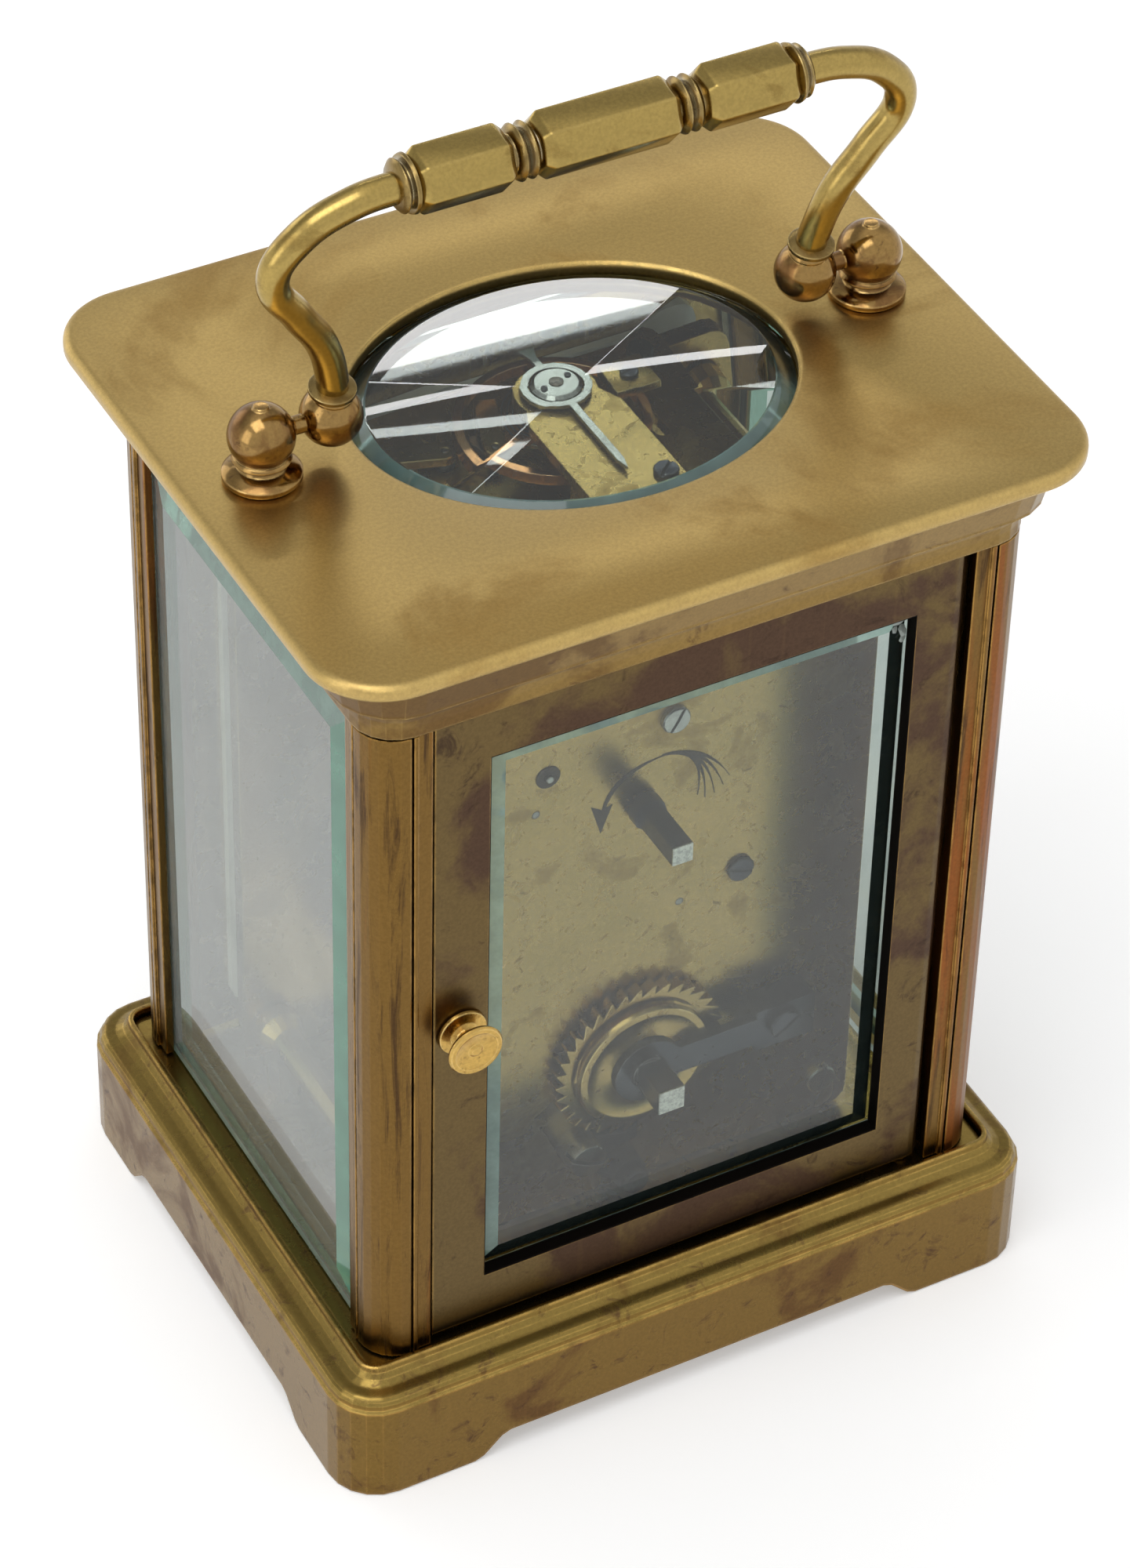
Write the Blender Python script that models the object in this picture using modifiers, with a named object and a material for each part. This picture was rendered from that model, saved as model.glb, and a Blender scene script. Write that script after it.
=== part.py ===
"""Brass carriage clock, seen best from its rear door: case, folding handle, movement and platform escapement.

Metres, +Z up. The dial looks along -Y and the rear door along +Y. The origin is the middle of the
footprint, on the surface that the clock stands on.
"""

import math

import bmesh
import bpy
from mathutils import Matrix, Vector

# Clearances and the overrun of every cut
SEAT_GAP = 0.0003
SLIP_GAP = 0.0002
PIVOT_CLEARANCE = 0.00006
OVERRUN = 0.0020
WELD_DISTANCE = 0.000001

# Base: plinth, bead, cove and rim, with a cut-out between the feet on each side
BASE_WIDTH = 0.0833
BASE_DEPTH = 0.0678
BASE_CORNER_RADIUS = 0.0056
PLINTH_HEIGHT = 0.0123
PLINTH_LINE = 0.0003
BEAD_HEIGHT = 0.0016
BEAD_REACH = 0.0010
RIM_HEIGHT = 0.0156
RIM_INSET = 0.0036
RIM_WIDTH = 0.0005
BASE_WALL = 0.0052
FOOT_HEIGHT = 0.0029
FOOT_LENGTH_FRONT = 0.0146
FOOT_LENGTH_SIDE = 0.0125
FOOT_OGEE = 0.0042
DECK_HEIGHT = 0.0146
DECK_THICKNESS = 0.0022
DECK_WINDOW_WIDTH = 0.0400
DECK_WINDOW_DEPTH = 0.0240

# Body: four corner pillars with glass let into them
BODY_WIDTH = 0.0729
BODY_DEPTH = 0.0585
PILLAR_SIDE = 0.0065
COLUMN_RADIUS = 0.0041
BEAD_WIDTH = 0.0005
GROOVE_DEPTH = 0.0007
GROOVE_WIDTH = 0.0003
FILLET_SET_BACK = 0.0003
GLASS_SLOT_DEPTH = 0.0015
GLASS_SET_IN = 0.0014

# Cornice and top plate
CORNICE_BOTTOM = 0.0995
FRIEZE_HEIGHT = 0.0012
CORNICE_EDGE_HEIGHT = 0.0043
TOP_PLATE_UNDERSIDE = 0.1088
FRIEZE_REACH = 0.0002
CORNICE_EDGE_REACH = 0.0023
CORNICE_TOP_REACH = 0.0035
CORNICE_WALL = 0.0040
CORNICE_CORNER_RADIUS = 0.0045
TOP_PLATE_WIDTH = 0.0840
TOP_PLATE_DEPTH = 0.0685
TOP_PLATE_THICKNESS = 0.0016
TOP_PLATE_CORNER_RADIUS = 0.0080
TOP_PLATE_EDGE = 0.0006
OVAL_WIDTH = 0.0466
OVAL_DEPTH = 0.0382

# Glass
PANE_EDGE = 0.0016
PANE_BEVEL_WIDTH = 0.0036
PANE_BEVEL_RISE = 0.0008
OVAL_GLASS_LAP = 0.0008
OVAL_GLASS_EDGE = 0.0012
OVAL_BEVEL_WIDTH = 0.0026
OVAL_BEVEL_RISE = 0.0014
RETAINER_LIP = 0.0008
RETAINER_HEIGHT = 0.0010

# Handle: two fixed posts, two knuckles and a bar with a faceted grip
PIVOT_HALF_SPAN = 0.0262
POST_HALF_SPAN = 0.0336
PIVOT_RISE = 0.0050
HANDLE_LEAN = math.radians(9.5)
POST_BALL_RADIUS = 0.0033
POST_FLANGE_RADIUS = 0.0039
POST_FLANGE_HEIGHT = 0.0006
POST_BAND_RADIUS = 0.0033
POST_BAND_HEIGHT = 0.0018
POST_NECK_RADIUS = 0.0019
KNUCKLE_RADIUS = 0.0031
KNUCKLE_PIN_RADIUS = 0.0008
KNUCKLE_PIN_DEPTH = 0.0014
COLLAR_RADIUS = 0.0023
COLLAR_RISE = 0.0048
COLLAR_HEIGHT = 0.0012
ARM_RADIUS = 0.0016
ARM_SOCKET_DEPTH = 0.0010
ELBOW_REACH = 0.0076
GRIP_RISE = 0.0282
GRIP_HALF_LENGTH = 0.0215
GRIP_MIDDLE_LENGTH = 0.0164
GRIP_SIDE_LENGTH = 0.0106
GRIP_RADIUS = 0.0034
GRIP_CHAMFER = 0.0010
GRIP_CORE_RADIUS = 0.0018
GRIP_RING_RADIUS = 0.0027
GRIP_RING_WIDTH = 0.0009

# Rear door
DOOR_WIDTH = BODY_WIDTH - 2 * (PILLAR_SIDE + SEAT_GAP)
DOOR_BOTTOM = 0.0159
DOOR_TOP = 0.0992
DOOR_THICKNESS = 0.0034
DOOR_SET_BACK = 0.0005
DOOR_STILE = 0.0061
DOOR_REBATE = 0.0012
DOOR_REBATE_DEPTH = 0.0018
DOOR_PIN_RADIUS = 0.0009
DOOR_PIN_LENGTH = 0.0014
DOOR_GLASS_BEVEL = 0.0034
DOOR_GLASS_RISE = 0.0006
KNOB_HEIGHT = 0.0585
KNOB_DISC_RADIUS = 0.0027
KNOB_FLANGE_RADIUS = 0.0023
KNOB_NECK_RADIUS = 0.0012
KNOB_LENGTH = 0.0034
KNOB_DISC_THICKNESS = 0.0010
KNOB_SHANK_RADIUS = 0.0008

# Movement frame: two plates and four turned pillars
FRONT_PLATE_FACE = -0.0196
BACK_PLATE_FACE = 0.0160
MOVEMENT_PLATE_THICKNESS = 0.0018
MOVEMENT_SIDE_GAP = 0.00295
MOVEMENT_HALF_WIDTH = BODY_WIDTH / 2 - PILLAR_SIDE - MOVEMENT_SIDE_GAP
MOVEMENT_TOP = 0.0936
MOVEMENT_CORNER_RADIUS = 0.0020
FRAME_PILLAR_INSET = 0.0034
FRAME_PILLAR_X = MOVEMENT_HALF_WIDTH - FRAME_PILLAR_INSET
FRAME_PILLAR_LOW_Z = 0.0195
FRAME_PILLAR_HIGH_Z = 0.0885
FRAME_PILLAR_RADIUS = 0.0017
FRAME_PILLAR_COLLAR = 0.0026
FRAME_PILLAR_COLLAR_LENGTH = 0.0016

# Train: places of the arbors, teeth and layers
BARREL_Z = 0.0340
CENTRE_Z = 0.0685
CONTRATE_X = 0.0080
CONTRATE_Z = 0.0820
BARREL_TEETH = 64
BARREL_PINION_LEAVES = 8
SECOND_TEETH = 48
CENTRE_PINION_LEAVES = 8
CENTRE_TEETH = 48
THIRD_PINION_LEAVES = 6
THIRD_TEETH = 45
CONTRATE_PINION_LEAVES = 6
CONTRATE_TEETH = 48
ESCAPE_PINION_LEAVES = 6
BARREL_TO_SECOND = 0.0197
SECOND_TO_CENTRE = 0.0162
CENTRE_TO_THIRD = 0.0126
THIRD_TO_CONTRATE = 0.0110
ARBOR_RADIUS = 0.0008
PIVOT_RADIUS = 0.0004
WHEEL_THICKNESS = 0.0009
WHEEL_RIM = 0.0016
WHEEL_HUB_RADIUS = 0.0024
SPOKE_WIDTH = 0.0011
SPOKE_TURN = math.radians(17)
PINION_OVERHANG = 0.0010
BARREL_LAYER = -0.0118
BARREL_TOOTH_WIDTH = 0.0020
BARREL_DRUM_DEPTH = 0.0140
BARREL_DRUM_WALL = 0.0008
BARREL_HUB_RADIUS = 0.0040
BARREL_CAP_THICKNESS = 0.0010
SECOND_LAYER = 0.0086
CENTRE_LAYER = 0.0040
THIRD_LAYER = -0.0026
CONTRATE_LAYER = -0.0064

# Mainspring
SPRING_TURNS = 3
SPRING_THICKNESS = 0.0006
SPRING_INNER_RADIUS = 0.0046
SPRING_HEIGHT = 0.0100
SPRING_STEPS = 14

# Winding and click work on the back plate
WINDING_ARBOR_RADIUS = 0.0020
WINDING_SQUARE = 0.0030
WINDING_END = 0.0246
RATCHET_TEETH = 36
RATCHET_RADIUS = 0.0100
RATCHET_TOOTH_DEPTH = 0.0011
RATCHET_THICKNESS = 0.0014
RATCHET_RING_RADIUS = 0.0068
RATCHET_RING_WIDTH = 0.0022
RATCHET_RING_RISE = 0.0006
CLICK_X = 0.0066
CLICK_Z = 0.0231
CLICK_NOSE = 0.0014
CLICK_BOSS_RADIUS = 0.0022
CLICK_THICKNESS = 0.0012
CLICK_SCREW_RADIUS = 0.0011
CLICK_SCREW_HEAD = 0.0019
CLICK_SPRING_WIRE = 0.0005
CLICK_SPRING_X = 0.0007
CLICK_SPRING_Z = 0.0173
CLICK_SPRING_BOSS = 0.0020
COCK_SCREW_X = -0.0165
COCK_FOOT_WIDTH = 0.0070
COCK_FOOT_HEIGHT = 0.0056
COCK_RING_RADIUS = 0.0040
COCK_ARM_WIDTH = 0.0036
COCK_THICKNESS = 0.0011

# Centre arbor, motion work, dial and hands
CENTRE_SQUARE = 0.0023
CENTRE_END = 0.0246
CENTRE_COLLAR_RADIUS = 0.0019
CENTRE_COLLAR_LENGTH = 0.0016
CANNON_LEAVES = 8
MINUTE_TEETH = 24
MINUTE_PINION_LEAVES = 8
HOUR_TEETH = 32
MOTION_DISTANCE = 0.0078
MOTION_THICKNESS = 0.0008
CANNON_RADIUS = 0.0012
HOUR_PIPE_RADIUS = 0.0019
HOUR_PIPE_WALL = 0.0005
DIAL_FACE = -0.0238
DIAL_THICKNESS = 0.0010
DIAL_SIDE_GAP = 0.00375
DIAL_HALF_WIDTH = BODY_WIDTH / 2 - PILLAR_SIDE - DIAL_SIDE_GAP
DIAL_BOTTOM = 0.0190
DIAL_TOP = 0.0930
DIAL_HOLE = 0.0024
DIAL_FOOT_RADIUS = 0.0010
DIAL_FOOT_X = 0.0200
DIAL_FOOT_LOW_Z = 0.0300
DIAL_FOOT_HIGH_Z = 0.0850
MINUTE_HAND_LENGTH = 0.0190
HOUR_HAND_LENGTH = 0.0125
HAND_WIDTH = 0.0016
HAND_THICKNESS = 0.0004
HAND_BOSS_RADIUS = 0.0026
HOUR_HAND_LIFT = 0.0003
MINUTE_HAND_LIFT = 0.0010

# Platform escapement
PLATFORM_HALF_WIDTH = 0.0195
PLATFORM_THICKNESS = 0.0014
BALANCE_X = -0.0020
BALANCE_Y = -0.0067
BALANCE_RADIUS = 0.0098
BALANCE_RIM = 0.0009
BALANCE_THICKNESS = 0.0012
BALANCE_RISE = 0.0032
BALANCE_ARM = 0.0012
STAFF_RADIUS = 0.0006
STAFF_PIVOT_RADIUS = 0.0003
ROLLER_RADIUS = 0.0015
ROLLER_RISE = 0.0018
ROLLER_THICKNESS = 0.0005
COLLET_RADIUS = 0.0010
HAIRSPRING_TURNS = 5
HAIRSPRING_STEPS = 15
HAIRSPRING_WIRE = 0.0001
HAIRSPRING_OUTER = 0.0056
HAIRSPRING_RISE = 0.0052
COCK_RISE = 0.0064
BALANCE_COCK_THICKNESS = 0.0012
BALANCE_COCK_WIDTH = 0.0104
BALANCE_COCK_REACH = 0.0190
BALANCE_COCK_FOOT = 0.0062
BALANCE_COCK_BOSS = 0.0042
STUD_RADIUS = 0.0005
INDEX_OUTER = 0.0036
INDEX_INNER = 0.0028
INDEX_THICKNESS = 0.0004
INDEX_POINTER = 0.0150
INDEX_POINTER_WIDTH = 0.0008
INDEX_TAIL = 0.0066
INDEX_TAIL_WIDTH = 0.0018
CAP_RADIUS = 0.0026
CAP_THICKNESS = 0.0007
JEWEL_RADIUS = 0.0007
ESCAPE_Y = -0.0100
ESCAPE_TEETH = 15
ESCAPE_RADIUS = 0.0036
ESCAPE_TOOTH_DEPTH = 0.0011
ESCAPE_THICKNESS = 0.0004
ESCAPE_RISE = 0.0010
ESCAPE_PINION_LENGTH = 0.0040
LEVER_PIVOT_REACH = 0.0057
LEVER_THICKNESS = 0.0004
LEVER_STEM_WIDTH = 0.0008
LEVER_FORK_WIDTH = 0.0020
FORK_SHARE = 0.4
LEVER_ARM_SPAN = 0.0064
PALLET_WIDTH = 0.0006
PALLET_GAP = 0.0002
BRIDGE_RISE = 0.0020
BRIDGE_THICKNESS = 0.0006
BRIDGE_WIDTH = 0.0022
BRIDGE_FOOT = 0.0022

TURNED_STEPS = 18
SMALL_STEPS = 10
ROOT_SHARE = 0.20
TIP_SHARE = 0.10
POINT_SHARE = 0.05
ADDENDUM_SHARE = 0.80
DEDENDUM_SHARE = 1.15
GAP_DEPTH_SHARE = 1.50
CROWN_TIP_SHARE = 0.25
CROWN_VALLEY_SHARE = 0.70

# Places that follow from the sizes
TOP_SURFACE = TOP_PLATE_UNDERSIDE + TOP_PLATE_THICKNESS
PIVOT_Z = TOP_SURFACE + PIVOT_RISE
DOOR_FACE = BODY_DEPTH / 2 - DOOR_SET_BACK
DOOR_BACK = DOOR_FACE - DOOR_THICKNESS
DOOR_AXIS_X = -(DOOR_WIDTH - DOOR_THICKNESS) / 2
DOOR_AXIS_Y = DOOR_FACE - DOOR_THICKNESS / 2
PILLAR_BOTTOM = DECK_HEIGHT + SEAT_GAP
PILLAR_TOP = CORNICE_BOTTOM - SEAT_GAP
BACK_PLATE_INNER = BACK_PLATE_FACE - MOVEMENT_PLATE_THICKNESS
FRONT_PLATE_INNER = FRONT_PLATE_FACE + MOVEMENT_PLATE_THICKNESS
PLATFORM_BOTTOM = MOVEMENT_TOP + SEAT_GAP
PLATFORM_TOP = PLATFORM_BOTTOM + PLATFORM_THICKNESS
HALF_TURN = math.pi
FULL_TURN = 2 * math.pi
QUARTER_TURN = math.pi / 2
FACE_Y = Matrix.Rotation(QUARTER_TURN, 4, "X")


def clear_scene():
    for obj in list(bpy.data.objects):
        bpy.data.objects.remove(obj, do_unlink=True)
    for name in ("Carriage clock", "Cutters"):
        collection = bpy.data.collections.new(name)
        bpy.context.scene.collection.children.link(collection)


def material(name, colour, roughness, metallic, transmission=0.0):
    found = bpy.data.materials.get(name)
    if found:
        return found
    made = bpy.data.materials.new(name)
    made.use_nodes = True
    shader = made.node_tree.nodes["Principled BSDF"]
    shader.inputs["Base Color"].default_value = (*colour, 1.0)
    shader.inputs["Roughness"].default_value = roughness
    shader.inputs["Metallic"].default_value = metallic
    shader.inputs["Transmission Weight"].default_value = transmission
    return made


def aged_brass():
    return material("aged brass", (0.42, 0.29, 0.10), 0.38, 1.0)


def patina_brass():
    return material("brown brass", (0.27, 0.17, 0.08), 0.45, 1.0)


def gilt_brass():
    return material("gilt plate", (0.62, 0.47, 0.20), 0.40, 1.0)


def polished_brass():
    return material("polished brass", (0.70, 0.48, 0.18), 0.20, 1.0)


def steel():
    return material("grey steel", (0.42, 0.43, 0.45), 0.30, 1.0)


def blued_steel():
    return material("blued steel", (0.06, 0.07, 0.12), 0.30, 1.0)


def bevelled_glass():
    return material("bevelled glass", (0.80, 0.93, 0.90), 0.03, 0.0, 0.9)


def enamel():
    return material("white enamel", (0.86, 0.85, 0.80), 0.20, 0.0)


def jewel():
    return material("red jewel", (0.55, 0.05, 0.10), 0.10, 0.0, 0.5)


def add(name, mesh, finish=None, place=None, parent=None):
    """Puts a mesh in the clock, or among the cutters when it has no finish."""
    obj = bpy.data.objects.new(name, mesh)
    bpy.data.collections["Carriage clock" if finish else "Cutters"].objects.link(obj)
    if finish:
        mesh.materials.append(finish)
    else:
        obj.hide_render = True
        obj.display_type = "WIRE"
    obj.matrix_world = place or Matrix.Identity(4)
    if parent:
        obj.parent = parent
        obj.matrix_parent_inverse = parent.matrix_world.inverted()
    return obj


def joint_empty(name, location, rotation=(0, 0, 0)):
    empty = bpy.data.objects.new(name, None)
    empty.location = location
    empty.rotation_euler = rotation
    empty.empty_display_size = POST_BALL_RADIUS
    bpy.data.collections["Carriage clock"].objects.link(empty)
    bpy.context.view_layer.update()
    return empty


def smooth(mesh, degrees=35):
    mesh.shade_smooth()
    mesh.set_sharp_from_angle(angle=math.radians(degrees))


def at(x, y, z, turn=None):
    place = Matrix.Translation((x, y, z))
    return place @ turn if turn else place


def mesh_from(bm, name):
    mesh = bpy.data.meshes.new(name)
    bm.to_mesh(mesh)
    bm.free()
    return mesh


def box_mesh(name, low, high):
    bm = bmesh.new()
    bmesh.ops.create_cube(bm, size=1.0)
    low, high = Vector(low), Vector(high)
    size = high - low
    bmesh.ops.scale(bm, vec=size, verts=bm.verts)
    bmesh.ops.translate(bm, vec=(low + high) / 2, verts=bm.verts)
    return mesh_from(bm, name)


def rod_mesh(name, radius, low, high, steps=SMALL_STEPS, end_radius=None):
    """A cylinder, cone or prism along local Z from low to high."""
    bm = bmesh.new()
    bmesh.ops.create_cone(
        bm,
        cap_ends=True,
        segments=steps,
        radius1=radius,
        radius2=radius if end_radius is None else end_radius,
        depth=high - low,
    )
    bmesh.ops.translate(bm, vec=(0, 0, (low + high) / 2), verts=bm.verts)
    mesh = mesh_from(bm, name)
    smooth(mesh)
    return mesh


def outline_mesh(name, loops, low, high):
    """A flat outline with any holes, as a solid from low to high along local Z."""
    curve = bpy.data.curves.new(name, "CURVE")
    curve.dimensions = "2D"
    curve.fill_mode = "BOTH"
    curve.extrude = (high - low) / 2
    for loop in loops:
        spline = curve.splines.new("POLY")
        spline.points.add(len(loop) - 1)
        for point, (x, y) in zip(spline.points, loop):
            point.co = (x, y, 0, 1)
        spline.use_cyclic_u = True
    return mesh_of_curve(name, curve, (low + high) / 2)


def mesh_of_curve(name, curve, lift=0.0):
    holder = bpy.data.objects.new(name, curve)
    bpy.context.scene.collection.objects.link(holder)
    graph = bpy.context.evaluated_depsgraph_get()
    mesh = bpy.data.meshes.new_from_object(holder.evaluated_get(graph))
    bpy.data.objects.remove(holder)
    bpy.data.curves.remove(curve)
    mesh.transform(Matrix.Translation((0, 0, lift)))
    bm = bmesh.new()
    bm.from_mesh(mesh)
    bmesh.ops.remove_doubles(bm, verts=bm.verts, dist=WELD_DISTANCE)
    bmesh.ops.recalc_face_normals(bm, faces=bm.faces)
    bm.to_mesh(mesh)
    bm.free()
    mesh.name = name
    return mesh


def wire_mesh(name, points, radius, resolution=2, cyclic=False):
    """A round wire through points."""
    curve = bpy.data.curves.new(name, "CURVE")
    curve.dimensions = "3D"
    curve.bevel_depth = radius
    curve.bevel_resolution = resolution
    curve.use_fill_caps = True
    spline = curve.splines.new("POLY")
    spline.points.add(len(points) - 1)
    for point, place in zip(spline.points, points):
        point.co = (*place, 1)
    spline.use_cyclic_u = cyclic
    mesh = mesh_of_curve(name, curve)
    smooth(mesh, 50)
    return mesh


def moulding_mesh(name, path, profile):
    """A closed profile swept round a closed flat path: each profile point is (reach outwards, height)."""
    section = bpy.data.curves.new(name + " section", "CURVE")
    section.dimensions = "2D"
    spline = section.splines.new("POLY")
    spline.points.add(len(profile) - 1)
    for point, (reach, height) in zip(spline.points, profile):
        point.co = (-reach, height, 0, 1)
    spline.use_cyclic_u = True
    guide = bpy.data.objects.new(name + " section", section)
    bpy.data.collections["Cutters"].objects.link(guide)
    guide.hide_render = True
    curve = bpy.data.curves.new(name, "CURVE")
    curve.dimensions = "2D"
    curve.fill_mode = "NONE"
    curve.bevel_mode = "OBJECT"
    curve.bevel_object = guide
    rail = curve.splines.new("POLY")
    rail.points.add(len(path) - 1)
    for point, (x, y) in zip(rail.points, path):
        point.co = (x, y, 0, 1)
    rail.use_cyclic_u = True
    mesh = mesh_of_curve(name, curve)
    bpy.data.objects.remove(guide)
    bpy.data.curves.remove(section)
    smooth(mesh)
    return mesh


def turned(name, profile, finish=None, place=None, parent=None, steps=TURNED_STEPS):
    """A turned piece about local Z: the profile runs down its outer side, each point (radius, height)."""
    mesh = bpy.data.meshes.new(name)
    points = [(radius, 0, height) for radius, height in profile]
    mesh.from_pydata(points, [(i, i + 1) for i in range(len(points) - 1)], [])
    obj = add(name, mesh, finish, place, parent)
    screw = obj.modifiers.new("turning", "SCREW")
    screw.angle = FULL_TURN
    screw.steps = steps
    screw.render_steps = steps
    screw.use_merge_vertices = True
    screw.merge_threshold = WELD_DISTANCE
    screw.use_smooth_shade = True
    return obj


def turned_ring_profile(inner, outer, low, high):
    return [(inner, high), (outer, high), (outer, low), (inner, low), (inner, high)]


def combine(target, tool, operation="UNION"):
    """Joins or cuts with a helper, which stays among the cutters."""
    change = target.modifiers.new(operation.lower() + " " + tool.name, "BOOLEAN")
    change.operation = operation
    change.solver = "EXACT"
    change.object = tool


def cut(target, name, mesh, place=None):
    helper = add(name, mesh, None, place)
    follow(helper, target)
    combine(target, helper, "DIFFERENCE")


def join(target, name, mesh, place=None):
    helper = add(name, mesh, None, place)
    follow(helper, target)
    combine(target, helper)


def follow(helper, target):
    if target.parent:
        helper.parent = target.parent
        helper.matrix_parent_inverse = target.matrix_parent_inverse.copy()


def bore(target, x, y, radius, low, high, steps=SMALL_STEPS):
    """A hole along Z."""
    across = radius / math.cos(HALF_TURN / steps)
    cut(target, target.name + " bore", rod_mesh("bore", across, low - OVERRUN, high + OVERRUN, steps), at(x, y, 0))


def bore_y(target, x, z, radius, low, high, steps=SMALL_STEPS):
    """A hole along Y."""
    mesh = rod_mesh("bore", radius / math.cos(HALF_TURN / steps), -high - OVERRUN, -low + OVERRUN, steps)
    cut(target, target.name + " bore", mesh, at(x, 0, z, FACE_Y))


def arc(centre, radius, start, end, steps):
    """Points along an arc, its two ends included."""
    turns = [start + (end - start) * i / steps for i in range(steps + 1)]
    return [(centre[0] + radius * math.cos(a), centre[1] + radius * math.sin(a)) for a in turns]


def rounded_rectangle(width, depth, radius, steps=5):
    points = []
    for corner, (sx, sy) in enumerate(((1, 1), (-1, 1), (-1, -1), (1, -1))):
        centre = (sx * (width / 2 - radius), sy * (depth / 2 - radius))
        points += arc(centre, radius, corner * QUARTER_TURN, (corner + 1) * QUARTER_TURN, steps)
    return points


def ellipse(width, depth, steps=36):
    turns = [FULL_TURN * i / steps for i in range(steps)]
    return [(width / 2 * math.cos(a), depth / 2 * math.sin(a)) for a in turns]


def circle(x, y, radius, steps=SMALL_STEPS):
    return [(x + px, y + py) for px, py in ellipse(2 * radius, 2 * radius, steps)]


def round_hole(x, y, radius, steps=SMALL_STEPS):
    """A hole whose flats, not its corners, lie on the radius."""
    return circle(x, y, radius / math.cos(HALF_TURN / steps), steps)


def concave(start, end, steps=5):
    """A cove between two profile points: it leaves the start level and ends upright."""
    turns = [QUARTER_TURN * i / steps for i in range(1, steps)]
    return [
        (start[0] + (end[0] - start[0]) * math.sin(a), start[1] + (end[1] - start[1]) * (1 - math.cos(a)))
        for a in turns
    ]


def convex(start, end, steps=4):
    """A rounded shoulder between two profile points: it leaves the start upright and ends level."""
    turns = [QUARTER_TURN * i / steps for i in range(1, steps)]
    return [
        (start[0] + (end[0] - start[0]) * (1 - math.cos(a)), start[1] + (end[1] - start[1]) * math.sin(a))
        for a in turns
    ]


def ball_profile(radius, height, start, end, steps=7):
    """Points down the side of a ball, from the start angle above its equator to the end angle."""
    turns = [start + (end - start) * i / steps for i in range(steps + 1)]
    return [(radius * math.cos(a), height + radius * math.sin(a)) for a in turns]


def foot_cutter(half_span, reach):
    """The shape between two feet: an ogee up from each foot to a straight edge."""
    half_cut = half_span
    rise = [
        (half_cut - FOOT_OGEE * share, FOOT_HEIGHT * (1 - math.cos(HALF_TURN * share)) / 2)
        for share in (0.0, 0.25, 0.5, 0.75, 1.0)
    ]
    outline = [(half_cut, -OVERRUN)] + rise
    outline += [(-x, z) for x, z in reversed(outline)]
    return outline_mesh("foot gap", [outline], -reach - OVERRUN, reach + OVERRUN)


def make_base_moulding():
    path = rounded_rectangle(BASE_WIDTH, BASE_DEPTH, BASE_CORNER_RADIUS)
    shoulder = (-PLINTH_LINE, PLINTH_HEIGHT + PLINTH_LINE)
    bead_top = (-PLINTH_LINE - BEAD_REACH, PLINTH_HEIGHT + BEAD_HEIGHT)
    rim = (-RIM_INSET, RIM_HEIGHT)
    ledge = DECK_HEIGHT - DECK_THICKNESS - SEAT_GAP
    inner = -RIM_INSET - RIM_WIDTH
    profile = [(0, 0), (0, PLINTH_HEIGHT), shoulder]
    profile += convex(shoulder, bead_top) + [bead_top]
    profile += concave(bead_top, rim, 4) + [rim]
    profile += [(inner, RIM_HEIGHT), (inner, ledge), (-BASE_WALL, ledge), (-BASE_WALL, 0)]
    base = add("base_moulding", moulding_mesh("base_moulding", path, profile), aged_brass())
    front_gap = foot_cutter(BASE_WIDTH / 2 - FOOT_LENGTH_FRONT, BASE_DEPTH / 2)
    side_gap = foot_cutter(BASE_DEPTH / 2 - FOOT_LENGTH_SIDE, BASE_WIDTH / 2)
    cut(base, "front and rear foot gap", front_gap, FACE_Y)
    cut(base, "side foot gap", side_gap, Matrix.Rotation(QUARTER_TURN, 4, "Z") @ FACE_Y)


def make_base_plate():
    inset = RIM_INSET + RIM_WIDTH + SEAT_GAP
    outline = rounded_rectangle(
        BASE_WIDTH - 2 * inset, BASE_DEPTH - 2 * inset, BASE_CORNER_RADIUS - inset, 4
    )
    window = rounded_rectangle(
        DECK_WINDOW_WIDTH, DECK_WINDOW_DEPTH, MOVEMENT_CORNER_RADIUS, 3
    )
    mesh = outline_mesh("base_plate", [outline, window], DECK_HEIGHT - DECK_THICKNESS, DECK_HEIGHT)
    plate = add("base_plate", mesh, patina_brass())
    bore(plate, DOOR_AXIS_X, DOOR_AXIS_Y, DOOR_PIN_RADIUS + PIVOT_CLEARANCE,
         DECK_HEIGHT - DECK_THICKNESS, DECK_HEIGHT)


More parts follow.
